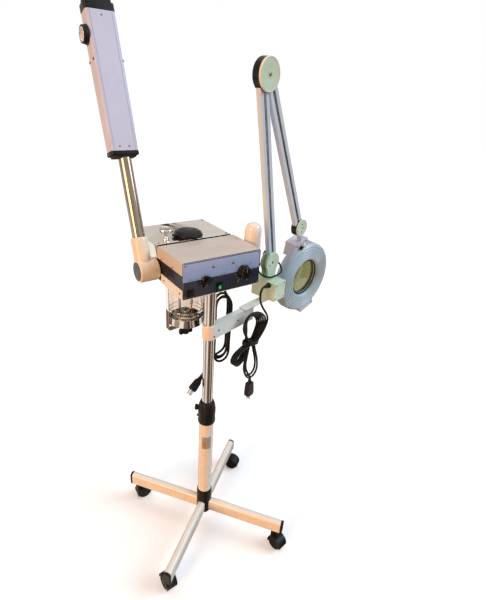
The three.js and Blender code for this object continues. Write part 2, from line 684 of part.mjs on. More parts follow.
function frontPanel() {
  const y0 = PANEL_FRONT_Y;
  const y1 = y0 + PANEL_THICK;
  const plate = block(-122, 122, y0, y1, BOX_BOTTOM_Z + SHEET + GAP, BOX_TOP_Z - 2.5);
  const fuse = union(
    block(FUSE.x - 9.5, FUSE.x + 9.5, y0 - 2.5, y0 + 1, FUSE.z - 10, FUSE.z + 10),
    rod(7, at(FUSE.x, y0 - 6, FUSE.z), at(FUSE.x, y0, FUSE.z), 18),
  );
  const bezel = block(SWITCH.x - 10, SWITCH.x + 10, y0 - 2.5, y0 + 1, SWITCH.z - 13.5, SWITCH.z + 13.5);
  const shaftHole = ({ x, z }) => rod(3.4, at(x, y0 - 1, z), at(x, y1 + 1, z), 12);
  return cut(union(plate, fuse, bezel), shaftHole(STEAM_KNOB), shaftHole(TIMER_KNOB),
    switchOpening(SWITCH.width + 1, SWITCH.height + 1.4, y0 - 5, y1 + 1));
}

function shaft({ x, z }) {
  return rod(3, at(x, PANEL_FRONT_Y - 3, z), at(x, PANEL_FRONT_Y + 2.6, z), 12);
}

function timerKnob() {
  const { x, z, r } = TIMER_KNOB;
  const front = PANEL_FRONT_Y - GAP;
  const body = turned([[0, 0], [r + 1.5, 0], [r + 1.5, 3], [r - 1, 4.5], [r - 2, 18], [r - 4, 20], [0, 20]],
    at(x, front, z), Y.clone().negate(), 30);
  return union(body, shaft(TIMER_KNOB));
}

// Round skirt with a pointer bar across it.
function steamKnob() {
  const { x, z, r } = STEAM_KNOB;
  const front = PANEL_FRONT_Y - GAP;
  const skirt = turned([[0, 0], [r, 0], [r, 4], [r - 2, 7], [0, 7]], at(x, front, z), Y.clone().negate(), 24);
  const bar = strip([x + 10, z + 9], [x - 13, z - 12], 9);
  return union(skirt, prismY(bar, front - 20, front - 6), shaft(STEAM_KNOB));
}

// Rocker about its pin, pressed at its lower edge.
function switchRocker(parent) {
  const h = SWITCH.height / 2;
  const outline = [[-6.4, h], [-4.4, 0.6], [-4.4, -0.6], [-6.4, -h], [0, -h + 2.5], [2, 0], [0, h - 2.5]];
  const half = SWITCH.width / 2;
  const mesh = node('switch_rocker', 'lit', prismX(outline, -half, half), parent);
  mesh.position.set(SWITCH.x, PANEL_FRONT_Y + 1.5, SWITCH.z);
  mesh.rotation.x = deg(SWITCH.rest);
}

// ---------------------------------------------------------------- boiler
function rearHousing() {
  const x = BOX_HALF_WIDTH;
  const w = SHEET;
  const [y0, y1, z0, z1] = [HOUSING_FRONT_Y, HOUSING_BACK_Y, HOUSING_BOTTOM_Z, BOX_TOP_Z];
  const valveFoot = turned([[0, -1], [9, -1], [9, 3], [7, 7], [0, 7]], at(VALVE.x, VALVE.y, z1), Z, 20);
  const shell = cut(
    prismY(roundedRect(0, (z0 + z1) / 2, 2 * x, z1 - z0, [3, 6, 6, 3], 3), y0, y1),
    prismY(roundedRect(0, (z0 + z1) / 2, 2 * (x - w), z1 - z0 - 2 * w, [2, 4.5, 4.5, 2], 2), y0 - 1, y1 - w),
  );
  return cut(union(shell, valveFoot), rod(3.8, at(VALVE.x, VALVE.y, z1 - 8), at(VALVE.x, VALVE.y, z1 + 9), 14));
}

// Round cap with finger lobes.
function fillerCap() {
  const lobes = [];
  for (let i = 0; i < 40; i += 1) {
    const angle = (2 * Math.PI * i) / 40;
    const r = FILLER.r + 1.6 * Math.cos(8 * angle);
    lobes.push([FILLER.x + r * Math.cos(angle), FILLER.y + r * Math.sin(angle)]);
  }
  const z = BOX_TOP_Z + GAP;
  const lug = block(FILLER.x - 50, FILLER.x - FILLER.r + 4, FILLER.y - 7, FILLER.y + 7, z + 2, z + 9);
  const crown = turned([[0, 8], [FILLER.r - 5, 8], [FILLER.r - 9, 14], [0, 14]],
    at(FILLER.x, FILLER.y, z), Z, 32);
  return union(prismZ(lobes, z, z + 9), crown, lug);
}

// Goblet-shaped weight on a stem.
function reliefValve() {
  const foot = BOX_TOP_Z + 7 + GAP;
  return union(
    turned([[0, 0], [6, 0], [6, 2], [4, 5], [4, 8], [9, 13], [20, 19], [21, 22], [20, 28], [17, 28.5],
      [0, 27]], at(VALVE.x, VALVE.y, foot), Z, 20),
    rod(3.5, at(VALVE.x, VALVE.y, foot - 13), at(VALVE.x, VALVE.y, foot + 2), 14),
  );
}

function glassJar() {
  const { x, y, r, wall, z0, z1 } = JAR;
  return turned([
    [0, z0], [r - 6, z0], [r - 2, z0 + 2], [r, z0 + 6], [r, z1], [r - wall, z1], [r - wall, z0 + 8],
    [r - wall - 4, z0 + wall], [0, z0 + wall],
  ], at(x, y, 0), Z, 32);
}

function jarDish() {
  const z = JAR.z0 - GAP;
  return turned([
    [0, z - 4], [DISH_R - 2, z - 4], [DISH_R, z - 2], [DISH_R, z + 26], [DISH_R - 1.5, z + 26],
    [DISH_R - 1.5, z], [0, z],
  ], at(JAR.x, JAR.y, 0), Z, 32);
}

// Strap under the dish, hung from the housing.
function jarStirrup() {
  const [top, x, w] = [HOUSING_BOTTOM_Z - GAP, STIRRUP_X, 2.5];
  const outline = [
    [-x - w, top], [-x - w, CROSSBAR_Z], [-x, CROSSBAR_Z - 4], [x, CROSSBAR_Z - 4], [x + w, CROSSBAR_Z],
    [x + w, top], [x, top], [x, CROSSBAR_Z], [-x, CROSSBAR_Z], [-x, top],
  ];
  const half = STIRRUP_WIDTH / 2;
  const boss = rod(9, at(JAR.x, JAR.y, CROSSBAR_Z - 7), at(JAR.x, JAR.y, CROSSBAR_Z - 1), 18);
  const strap = prismY(outline, JAR.y - half, JAR.y + half);
  return cut(union(strap, boss), rod(5.4, at(JAR.x, JAR.y, 790), at(JAR.x, JAR.y, 815), 16));
}

function jarScrew() {
  const wing = [[-24, 776], [-20, 770], [-8, 772], [8, 772], [20, 770], [24, 776], [22, 790], [10, 788],
    [-10, 788], [-22, 790]];
  return union(
    rod(5, at(JAR.x, JAR.y, 780), at(JAR.x, JAR.y, JAR.z0 - 4 - 2 * GAP), 16),
    prismY(wing, JAR.y - 5, JAR.y + 5),
    rod(11, at(JAR.x, JAR.y, 770), at(JAR.x, JAR.y, 791), 18),
  );
}

// Hairpin element hanging into the jar.
function heater() {
  const top = HOUSING_BOTTOM_Z - GAP;
  const path = [[-22, 0, top], [-22, 0, 940], [-22, 0, 880], [-14, 0, 862], [0, 0, 856], [14, 0, 862],
    [22, 0, 880], [22, 0, 940], [22, 0, top]];
  return lead(path.map(([x, y, z]) => [JAR.x + x, JAR.y + y, z]), 4, 24);
}

function boilerSide(root) {
  node('rear_housing', 'chrome', rearHousing(), root);
  node('filler_cap', 'black', fillerCap(), root);
  node('relief_valve', 'chrome', reliefValve(), root);
  node('glass_jar', 'glass', glassJar(), root);
  node('jar_dish', 'chrome', jarDish(), root);
  node('jar_stirrup', 'chrome', jarStirrup(), root);
  node('jar_screw', 'black', jarScrew(), root);
  node('heater', 'brass', heater(), root);
}

function controlSide(root) {
  node('control_chassis', 'black', controlChassis(), root);
  node('upper_cover', 'white', upperCover(), root);
  node('lower_tray', 'white', lowerTray(), root);
  node('front_panel', 'panel', frontPanel(), root);
  node('timer_knob', 'blackGloss', timerKnob(), root);
  node('steam_knob', 'blackGloss', steamKnob(), root);
  switchRocker(root);
  node('side_grip', 'white', sideGrip(), root);
}

function sideGrip() {
  const { x, y, r, z0, z1 } = GRIP;
  const post = turned([
    [0, z0], [r - 4, z0], [r, z0 + 4], [r, z1 - 22], [r - 4, z1 - 10], [r - 11, z1 - 3], [0, z1],
  ], at(x, y, 0), Z, 28);
  const arm = block(BOX_HALF_WIDTH + GAP, x, y - 14, y + 14, z0 + 20, z0 + 60);
  return union(post, arm);
}

// ---------------------------------------------------------------- steam arm
// These work in the arm's own frame: its pivot at the origin, the arm along +Z.
function steamElbow() {
  const drum = rod(ELBOW_DRUM_R, at(-134.7, 0, 0), at(-180, 0, 0), 36);
  const cap = rod(ELBOW_DRUM_R - 3, at(-179, 0, 0), at(-181.5, 0, 0), 36);
  const socket = cut(rod(SOCKET_R, at(STEAM_ARM_X, 0, 0), at(STEAM_ARM_X, 0, SOCKET_END), 28),
    block(-134.7, -130, -40, 40, -1, 200));
  const bore = rod(ARM_TUBE_R + GAP, at(STEAM_ARM_X, 0, 60), at(STEAM_ARM_X, 0, 200), 28);
  return cut(union(drum, cap, socket), bore);
}

function headSection(width, depth, corner) {
  return roundedRect(STEAM_ARM_X + HEAD.shift, 0, width, depth, [corner, corner, corner, corner], 3);
}

function headExtrusion() {
  const { start, end, width, depth } = HEAD;
  const nozzleHole = rod(16, at(STEAM_ARM_X - 60, 0, NOZZLE_AT), at(STEAM_ARM_X - 20, 0, NOZZLE_AT), 20);
  return cut(
    prismZ(headSection(width, depth, 8), start + GAP, end - GAP),
    prismZ(headSection(width - 5, depth - 5, 5.5), start - 1, end + 1),
    nozzleHole,
  );
}

function headTopCap() {
  const { end, width, depth } = HEAD;
  return union(
    prismZ(headSection(width + 1, depth + 1, 8), end, end + 20),
    prismZ(headSection(width - 7, depth - 7, 8), end + 19, end + 29),
  );
}

function headBottomCap() {
  const { start, width, depth } = HEAD;
  return cut(
    union(
      prismZ(headSection(width + 1, depth + 1, 8), start - 10, start),
      prismZ(headSection(width - 14, depth - 4, 8), start - 15, start - 9),
    ),
    rod(ARM_TUBE_R + GAP, at(STEAM_ARM_X, 0, start - 40), at(STEAM_ARM_X, 0, start - 6), ROUND),
  );
}

function nozzle() {
  const face = STEAM_ARM_X + HEAD.shift - HEAD.width / 2;
  const profile = [[0, -12], [15.5, -12], [15.5, GAP], [23, GAP], [23, 4], [21, 5], [20, 13], [11, 13],
    [10, 3], [0, 3]];
  return turned(profile, at(face, 0, NOZZLE_AT), X.clone().negate(), 28);
}

function steamSide(root) {
  const pivot = at(0, STEAM_PIVOT.y, STEAM_PIVOT.z);
  const base = turned([[0, 0], [ELBOW_DRUM_R, 0], [ELBOW_DRUM_R, 10], [0, 10]],
    at(-134.4, pivot.y, pivot.z), X, 36);
  node('elbow_base', 'white', base, root);
  const arm = new THREE.Group();
  arm.position.copy(pivot);
  arm.rotation.x = deg(-STEAM_LEAN);
  root.add(arm);
  const tubeEnd = HEAD.start - 6 - GAP;
  const tube = pipe(ARM_TUBE_R, ARM_TUBE_R - 2, at(STEAM_ARM_X, 0, 60 + GAP), at(STEAM_ARM_X, 0, tubeEnd));
  node('steam_elbow', 'white', steamElbow(), arm);
  node('arm_tube', 'chrome', tube, arm);
  node('head_extrusion', 'white', headExtrusion(), arm);
  node('head_top_cap', 'black', headTopCap(), arm);
  node('head_bottom_cap', 'black', headBottomCap(), arm);
  node('nozzle', 'black', nozzle(), arm);
}

// ---------------------------------------------------------------- steamer's mains lead
const STEAMER_EXIT = { x: 85, y: 55 };

function steamerRelief() {
  const from = at(STEAMER_EXIT.x, STEAMER_EXIT.y, BOX_BOTTOM_Z - GAP);
  return turned([[0, 0], [10, 0], [10, 5], [8, 8], [MAINS_R + 1, 34], [0, 34]], from, at(0, 0, -1), 16);
}

function steamerLead() {
  const { x, y } = STEAMER_EXIT;
  return lead([[x, y, 983], [x, y, 972], [x - 1, y - 1, 962], [x - 3, y - 3, 951]], MAINS_R, 8);
}

// Outer shape of the put-away lead behind the bar.
function steamerHank() {
  const outline = roundedRect(80, 816.5, 62, 267, [26, 20, 20, 26], 3);
  return prismY(outline, 42, 66);
}

function steamerTail() {
  return lead([[48.6, 50, 712], [44, 50, 711.8], [35, 46, 706], [23, 38, 697], [14.2, 33.4, 686.9],
    [8.4, 32.1, 682.3]], MAINS_R, 12);
}

function steamerPlug() {
  const start = at(8, 32, 682);
  const way = at(-57, -13, -45).normalize();
  const profile = [[0, 0], [MAINS_R + 1, 0], [7.5, 32], [12, 36], [14, 58], [13, 72], [0, 73]];
  const prongAt = (turn) => {
    const side = at(0, 0.96, -0.28).applyAxisAngle(way, deg(turn)).multiplyScalar(7);
    const foot = start.clone().addScaledVector(way, 70).add(side);
    return rod(2.6, foot, foot.clone().addScaledVector(way, 20), 8);
  };
  return union(turned(profile, start, way, 18), prongAt(90), prongAt(210), prongAt(330));
}

function steamerLeads(root) {
  node('steamer_strain_relief', 'rubber', steamerRelief(), root);
  node('steamer_cord', 'rubber', steamerLead(), root);
  node('steamer_hank', 'rubber', steamerHank(), root);
  node('steamer_tail', 'rubber', steamerTail(), root);
  node('steamer_plug', 'black', steamerPlug(), root);
}

// ---------------------------------------------------------------- the whole object
const CORD_NAMES = ['steamer_strain_relief', 'steamer_cord', 'steamer_hank', 'steamer_tail', 'steamer_plug',
  'lamp_cord', 'lamp_hank', 'lamp_plug', 'lamp_arm_cable'];

// Moves everything so that the middle of the body, leads left out, stands over the origin.
function centreOverOrigin(root) {
  root.updateMatrixWorld(true);
  const bounds = new THREE.Box3();
  root.traverse((part) => {
    if (part.isMesh && !CORD_NAMES.includes(part.name)) bounds.expandByObject(part, true);
  });
  const middle = bounds.getCenter(new THREE.Vector3());
  root.position.set(-middle.x, -middle.y, -bounds.min.z);
}

const steamer = new THREE.Group();
steamer.name = 'facial_steamer';
rollingBase(steamer);
post(steamer);
lampSide(steamer);
controlSide(steamer);
boilerSide(steamer);
steamSide(steamer);
steamerLeads(steamer);
centreOverOrigin(steamer);

export default steamer;
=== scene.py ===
import json
from math import atan2, cos, pi, radians, sin, sqrt, tau

import bmesh
import bpy
from mathutils import Matrix, Quaternion, Vector

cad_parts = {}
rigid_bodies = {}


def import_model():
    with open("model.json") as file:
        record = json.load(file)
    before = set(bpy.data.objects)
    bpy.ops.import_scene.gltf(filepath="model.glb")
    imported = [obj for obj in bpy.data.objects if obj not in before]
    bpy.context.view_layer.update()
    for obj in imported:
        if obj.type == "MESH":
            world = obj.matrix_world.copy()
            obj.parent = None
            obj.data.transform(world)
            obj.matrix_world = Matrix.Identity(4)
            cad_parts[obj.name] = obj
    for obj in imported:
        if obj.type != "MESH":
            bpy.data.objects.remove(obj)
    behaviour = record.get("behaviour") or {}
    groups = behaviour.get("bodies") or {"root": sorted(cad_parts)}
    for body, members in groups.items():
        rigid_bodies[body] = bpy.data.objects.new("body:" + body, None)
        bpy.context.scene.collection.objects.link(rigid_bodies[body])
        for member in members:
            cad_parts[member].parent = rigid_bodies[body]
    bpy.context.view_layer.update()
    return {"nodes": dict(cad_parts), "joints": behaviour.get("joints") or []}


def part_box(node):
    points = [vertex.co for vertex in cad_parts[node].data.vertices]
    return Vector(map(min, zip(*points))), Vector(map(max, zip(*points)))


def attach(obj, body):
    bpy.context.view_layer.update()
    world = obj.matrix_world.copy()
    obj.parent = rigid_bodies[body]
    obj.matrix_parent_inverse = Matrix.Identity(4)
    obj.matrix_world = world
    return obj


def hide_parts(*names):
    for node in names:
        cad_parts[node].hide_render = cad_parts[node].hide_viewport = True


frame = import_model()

for leftover in list(bpy.data.objects):
    if leftover.name in ("Cube", "Light", "Camera"):
        bpy.data.objects.remove(leftover)

# Local frames, in millimetres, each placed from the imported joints: POST stands on the column's axis,
# BRACKET is POST turned to the lamp's bar, ARM stands on the lamp's swivel, HEAD rolls with the lamp's
# ring, and STEAM lies along the steam arm.
MM = 0.001
joints = {j["name"]: j for j in frame["joints"]}
X, Y, Z = Vector((1, 0, 0)), Vector((0, 1, 0)), Vector((0, 0, 1))
low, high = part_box("inner_column")
post_at = (low + high) / 2
POST = Matrix.Translation((post_at.x, post_at.y, 0)) @ Matrix.Scale(MM, 4)


def joint_at(name, frame_matrix=POST):
    return frame_matrix.inverted() @ Vector(joints[name]["pos_m"])


def axis_of(name):
    return Vector(joints[name]["axis"])


tilt = axis_of("lamp_lower_tilt")
YAW = atan2(-tilt[0], tilt[1])
BRACKET = POST @ Matrix.Rotation(YAW, 4, "Z")
swivel = joint_at("lamp_swivel")
ARM = POST @ Matrix.Translation((swivel.x, swivel.y, 0)) @ Matrix.Rotation(YAW, 4, "Z")
LOWER = joint_at("lamp_lower_tilt", ARM)
ELBOW = joint_at("lamp_elbow", ARM)
HEAD_JOINT = joint_at("lamp_head_tilt", ARM)
RING_ROLL = radians(5)
RING_OUT, RING_DROP = 66, 208.6
RING = Vector((HEAD_JOINT.x + RING_OUT, 0, HEAD_JOINT.z - RING_DROP))
HEAD_WAY = (RING - HEAD_JOINT).normalized()
ROLLED = Matrix.Rotation(RING_ROLL, 4, HEAD_WAY)
HEAD = ARM @ Matrix.Translation(HEAD_JOINT) @ ROLLED @ Matrix.Translation(-HEAD_JOINT)
steam_at = joint_at("steam_arm_tilt")
steam_way = axis_of("steam_head_turn")
LEAN = atan2(steam_way.y, steam_way.z)
STEAM = POST @ Matrix.Translation(steam_at) @ Matrix.Rotation(-LEAN, 4, "X")


def linked(o):
    bpy.context.scene.collection.objects.link(o)
    return o


# ---------------------------------------------------------------- camera
def add_camera():
    """At standing height in front of the left corner of the box, looking down on it."""
    azimuth, elevation, roll = radians(-36.99), radians(26.871), radians(4.081)
    aside, ahead, height = 0.5903, 0.9415, 1.5313
    back = Vector((sin(azimuth) * cos(elevation), -cos(azimuth) * cos(elevation), sin(elevation)))
    right = Vector((cos(azimuth), sin(azimuth), 0))
    up = back.cross(right)
    side = right * cos(roll) + up * sin(roll)
    over = up * cos(roll) - right * sin(roll)
    data = bpy.data.cameras.new("camera")
    data.lens = 25.566
    data.sensor_width = 36
    camera = linked(bpy.data.objects.new("camera", data))
    place = Matrix((side, over, back)).transposed().to_4x4()
    place.translation = Vector((post_at.x - aside, post_at.y - ahead, height))
    camera.matrix_world = place
    bpy.context.scene.camera = camera


add_camera()


# ---------------------------------------------------------------- materials
class Graph:
    """The nodes and links of a material or of the world."""

    def __init__(self, owner):
        owner.use_nodes = True
        self.nodes, self.join = owner.node_tree.nodes, owner.node_tree.links.new

    def add(self, kind, **values):
        """New node, its inputs set by name."""
        return settled(self.nodes.new("ShaderNode" + kind), **values)

    def mixed(self, factor, first, second):
        """Colour between two, each a colour or another node's output."""
        x = self.add("Mix")
        x.data_type = "RGBA"
        self.join(factor, x.inputs[0])
        for socket, value in ((x.inputs[6], first), (x.inputs[7], second)):
            if isinstance(value, tuple):
                socket.default_value = (*value, 1)
            else:
                self.join(value, socket)
        return x.outputs[2]


def settled(node, **values):
    for key, value in values.items():
        node.inputs[key.replace("_", " ")].default_value = value
    return node


def mat(name, color, rough, metal=0.0, vary=0.08, grain=None, streak=None, coat=0.0, scuff=0.0,
        rough_vary=0.08, scale=14.0, **inputs):
    """Procedural finish: cloudy colour and roughness, with optional fine bump, streaks and worn marks.
    grain = (noise scale, bump strength), streak = (noise scale, stretch, amount, lean)."""
    m = bpy.data.materials.new(name)
    graph = Graph(m)
    bsdf = graph.nodes["Principled BSDF"]
    coords = graph.add("TexCoord").outputs["Object"]

    def noise(size, detail=4.0, stretch=None, lean=0.0):
        n = graph.add("TexNoise", Scale=size, Detail=detail)
        where = coords
        if stretch:
            mapping = graph.add("Mapping")
            mapping.vector_type = "TEXTURE"
            settled(mapping, Rotation=(lean, 0, 0), Scale=[1 / k for k in stretch])
            graph.join(coords, mapping.inputs["Vector"])
            where = mapping.outputs["Vector"]
        graph.join(where, n.inputs["Vector"])
        return n.outputs["Fac"]

    def ranged(value, lo, hi, low=0.3, high=0.7):
        r = graph.add("MapRange", From_Min=low, From_Max=high, To_Min=lo, To_Max=hi)
        graph.join(value, r.inputs["Value"])
        return r.outputs["Result"]

    dark = tuple(c * (1 - vary) for c in color)
    light = tuple(min(1.0, c * (1 + vary * 0.6)) for c in color)
    tone = graph.mixed(ranged(noise(scale), 0, 1), dark, light)
    roughness = ranged(noise(scale * 2.6, 6), rough - rough_vary, rough + rough_vary)
    if streak:
        size, stretch, amount, *lean = streak
        lines = noise(size, 3, stretch, *lean)
        tone = graph.mixed(ranged(lines, 0, amount), tone, tuple(c * 0.45 for c in color))
        total = graph.add("Math")
        graph.join(roughness, total.inputs[0])
        graph.join(ranged(lines, -0.04, 0.07), total.inputs[1])
        roughness = total.outputs[0]
    if scuff:
        marks = ranged(noise(38, 8), 0, scuff, 0.60, 0.74)
        tone = graph.mixed(marks, tone, tuple(c * 0.55 for c in color))
    graph.join(tone, bsdf.inputs["Base Color"])
    graph.join(roughness, bsdf.inputs["Roughness"])
    settled(bsdf, Metallic=metal, Coat_Weight=coat, Coat_Roughness=0.12)
    if grain:
        size, strength = grain
        bump = graph.add("Bump", Strength=strength, Distance=0.0006)
        graph.join(noise(size, 3), bump.inputs["Height"])
        graph.join(bump.outputs["Normal"], bsdf.inputs["Normal"])
    settled(bsdf, **inputs)
    return m


CREAM = mat("cream_enamel", (0.80, 0.765, 0.70), 0.30, coat=0.35, scuff=0.10, grain=(420, 0.035), vary=0.05)
COVER = mat("cover_enamel", (0.56, 0.515, 0.475), 0.40, coat=0.2, grain=(700, 0.105), vary=0.05)
TRAY = mat("tray_enamel", (0.80, 0.79, 0.77), 0.36, coat=0.2, grain=(700, 0.087))
BAR = mat("bracket_enamel", (0.78, 0.88, 0.87), 0.36, coat=0.2, grain=(700, 0.07))
MINT = mat("mint_enamel", (0.62, 0.83, 0.64), 0.34, coat=0.25, grain=(700, 0.056), vary=0.05)
IVORY = mat("ivory_rim", (0.80, 0.78, 0.66), 0.38, grain=(600, 0.052))
POWDER = mat("arm_powder_coat", (0.62, 0.76, 0.92), 0.36, grain=(700, 0.105), vary=0.05,
             streak=(22, (5, 5, 0.3), 0.06))
LILAC = mat("head_powder_coat", (0.56, 0.62, 0.84), 0.42, grain=(700, 0.098), vary=0.04,
            streak=(16, (4, 4, 0.3), 0.05))
HOUSING = mat("lamp_shell", (0.58, 0.64, 0.80), 0.36, grain=(700, 0.063), vary=0.05)
ELBOW_PLASTIC = mat("ivory_plastic", (0.80, 0.735, 0.60), 0.36, coat=0.15, grain=(500, 0.042), vary=0.06)
GRIP = mat("white_plastic", (0.80, 0.77, 0.73), 0.22, coat=0.5, grain=(300, 0.017), vary=0.04)
# Chrome of the steam arm: the brown base colour and the strong dark streaks are painted reflections of a brown
# room.
ARM_CHROME = mat("arm_chrome_painted_reflection", (0.44, 0.37, 0.30), 0.12, 1.0, vary=0.25, rough_vary=0.04,
                 streak=(30, (9, 9, 0.15), 0.95, -LEAN))
CHROME = mat("chrome", (0.72, 0.70, 0.67), 0.10, 1.0, vary=0.10, rough_vary=0.04,
             streak=(26, (7, 7, 0.25), 0.55))
STEEL = mat("polished_sheet", (0.78, 0.73, 0.68), 0.05, 1.0, vary=0.08, rough_vary=0.02,
            streak=(5, (1.2, 1.2, 1.2), 0.12), grain=(300, 0.003))
BRIGHT = mat("nickel", (0.74, 0.72, 0.70), 0.16, 1.0, vary=0.08, rough_vary=0.06)
SCREW = mat("dark_screw", (0.16, 0.155, 0.15), 0.34, 0.9, rough_vary=0.08)
DULL = {"Specular_IOR_Level": 0.16}
BLACK = mat("black_moulding", (0.010, 0.010, 0.011), 0.42, grain=(700, 0.12), vary=0.3, rough_vary=0.12,
            **DULL)
GLOSS = mat("gloss_black", (0.008, 0.008, 0.009), 0.20, coat=0.12, grain=(600, 0.028), vary=0.3, **DULL)
CHASSIS = mat("black_chassis", (0.010, 0.009, 0.010), 0.34, grain=(700, 0.105), vary=0.3, **DULL)
RUBBER = mat("lead_sheath", (0.009, 0.009, 0.010), 0.38, grain=(700, 0.087), vary=0.35, rough_vary=0.12,
             **DULL)
TREAD = mat("caster_tread", (0.016, 0.016, 0.017), 0.58, grain=(500, 0.175), vary=0.35, rough_vary=0.1,
            **DULL)
BRASS = mat("element_sheath", (0.50, 0.44, 0.36), 0.30, 1.0, vary=0.25, grain=(300, 0.07), rough_vary=0.12)
MARK = mat("printed_mark", (0.80, 0.82, 0.86), 0.5, vary=0.05)
MARK_DARK = mat("printed_mark_dark", (0.045, 0.05, 0.08), 0.5, vary=0.2)
STICKER = mat("plain_sticker", (0.42, 0.30, 0.23), 0.45, vary=0.35, scale=90)
STICKER_GREY = mat("plain_sticker_grey", (0.36, 0.35, 0.35), 0.45, vary=0.25, scale=120)
# Near-black for the floor of the arms' groove: painted shade.
GROOVE_SHADE = mat("arm_groove_shade", (0.055, 0.06, 0.07), 0.5, vary=0.3, grain=(700, 0.105))
GLASS = mat("jar_glass", (0.86, 0.79, 0.72), 0.045, vary=0.10, rough_vary=0.03, Transmission_Weight=1.0,
            IOR=1.46)
LENS = mat("lens_glass", (0.20, 0.21, 0.09), 0.03, vary=0.03, rough_vary=0.02, Transmission_Weight=1.0,
           IOR=1.50)
DIFFUSER = mat("diffuser_plastic", (0.44, 0.60, 0.72), 0.18, vary=0.20, rough_vary=0.06, scale=9, coat=0.5,
               Subsurface_Weight=0.25, Subsurface_Scale=0.01, IOR=1.45)
TUBE = mat("tube_glass", (0.86, 0.87, 0.88), 0.30, vary=0.03)
LIT = mat("green_rocker", (0.008, 0.035, 0.018), 0.22, coat=0.4, vary=0.5, scale=110, grain=(700, 0.03))
LIT_WINDOW = mat("lit_window", (0.02, 0.42, 0.14), 0.22, coat=0.4, vary=0.5, scale=300,
                 Emission_Color=(0.04, 0.85, 0.28, 1), Emission_Strength=0.5)
POINTER = mat("pointer_line", (0.20, 0.20, 0.21), 0.4, vary=0.1)
LENS_RED = mat("indicator_lens", (0.05, 0.02, 0.03), 0.15, coat=0.5, vary=0.3)
WHITE_CUP = mat("nozzle_cup", (0.72, 0.71, 0.70), 0.35, grain=(500, 0.035))


def panel_finish():
    """Pale blue face with a navy lower band and, between them, a thin light line that is a painted highlight,
    by height.
    """
    m = mat("panel_face", (0.5, 0.6, 0.8), 0.30, coat=0.15, grain=(700, 0.042), vary=0.04)
    graph = Graph(m)
    low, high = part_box("front_panel")
    coords = graph.add("TexCoord").outputs["Object"]
    split = graph.add("SeparateXYZ")
    graph.join(coords, split.inputs[0])
    rise = graph.add("MapRange", From_Min=low.z, From_Max=high.z)
    graph.join(split.outputs["Z"], rise.inputs["Value"])
    ramp = graph.add("ValToRGB")
    stops = ramp.color_ramp.elements
    # The stop at 0.495 is the thin light line, a painted highlight along the edge between the bands.
    shades = ((0.25, (0.008, 0.014, 0.030)), (0.49, (0.012, 0.022, 0.046)), (0.495, (0.50, 0.60, 0.80)),
              (0.505, (0.16, 0.24, 0.44)), (0.52, (0.27, 0.39, 0.70)), (0.75, (0.31, 0.43, 0.73)))
    foot, top = (0.010, 0.018, 0.036, 1), (0.38, 0.50, 0.78, 1)
    stops[0].color, stops[1].color = foot, top
    for height, color in shades:
        stops.new(height).color = (*color, 1)
    graph.join(rise.outputs["Result"], ramp.inputs["Fac"])
    speck = graph.add("TexNoise", Scale=700)
    graph.join(coords, speck.inputs["Vector"])
    mix = graph.add("Mix")
    mix.data_type = "RGBA"
    mix.blend_type = "OVERLAY"
    mix.inputs[0].default_value = 0.35
    graph.join(ramp.outputs["Color"], mix.inputs[6])
    graph.join(speck.outputs["Fac"], mix.inputs[7])
    graph.join(mix.outputs[2], graph.nodes["Principled BSDF"].inputs["Base Color"])
    return m


PANEL = panel_finish()


# ---------------------------------------------------------------- mesh helpers
class Draft:
    """The mesh being drawn, in millimetres of the local frame place; piece() takes it and clears it."""
    bm = bmesh.new()
    place = POST


def vert(x, y, z, local=Matrix.Identity(4)):
    return Draft.bm.verts.new(Draft.place @ local @ Vector((x, y, z)))


def face(corners, paint=0):
    Draft.bm.faces.new(corners).material_index = paint


def turned_to(at, along):
    """Frame at a point with its Z along a direction."""
    turn = Z.rotation_difference(Vector(along).normalized()).to_matrix().to_4x4()
    return Matrix.Translation(at) @ turn


def lathe(profile, at=(0, 0, 0), along=Z, steps=64, paint=0, closed=False, lobes=None):
    """Profile of (radius, height) turned about along through at. lobes = (count, depth, low, high)
    waves the radius between those heights."""
    local = turned_to(at, along)
    rings = []
    for r, h in profile:
        if r < 1e-6:
            rings.append([vert(0, 0, h, local)])
            continue
        ring = []
        for k in range(steps):
            angle = tau * k / steps
            wave = 0.0
            if lobes and lobes[2] <= h <= lobes[3]:
                wave = lobes[1] * (cos(lobes[0] * angle) - 1) / 2
            ring.append(vert((r + wave) * cos(angle), (r + wave) * sin(angle), h, local))
        rings.append(ring)
    pairs = list(zip(rings, rings[1:]))
    if closed:
        pairs.append((rings[-1], rings[0]))
    for a, b in pairs:
        for k in range(steps):
            n = (k + 1) % steps
            corners = [a[k % len(a)], a[n % len(a)], b[n % len(b)], b[k % len(b)]]
            corners = [c for i, c in enumerate(corners) if c not in corners[:i]]
            if len(corners) > 2:
                face(corners, paint)


def prism(outline, way, lo, hi, paint=0):
    """Outline swept along way: (y, z) along X, (x, z) along Y or (x, y) along Z."""
    lift = {"X": lambda a, b, c: (c, a, b), "Y": lambda a, b, c: (a, c, b), "Z": lambda a, b,
            c: (a, b, c)}[way]
    ends = [[vert(*lift(a, b, c)) for a, b in outline] for c in (lo, hi)]
    for end in ends:
        face(end, paint)
    for i in range(len(outline)):
        n = (i + 1) % len(outline)
        face([ends[0][i], ends[0][n], ends[1][n], ends[1][i]], paint)


def rod(r, lo, hi, *args):
    lathe([(0, lo), (r, lo), (r, hi), (0, hi)], *args)


def brick(x0, x1, y0, y1, z0, z1):
    prism([(x0, y0), (x1, y0), (x1, y1), (x0, y1)], "Z", z0, z1)


def screw(at, along, r, height=1.6):
    """Domed screw head with a dimple in its middle."""
    lathe([(0, height * 0.45), (r * 0.28, height * 0.5), (r * 0.42, height), (r * 0.8, height * 0.75),
           (r, 0.25), (r, 0), (0, 0)], at, along, 20)


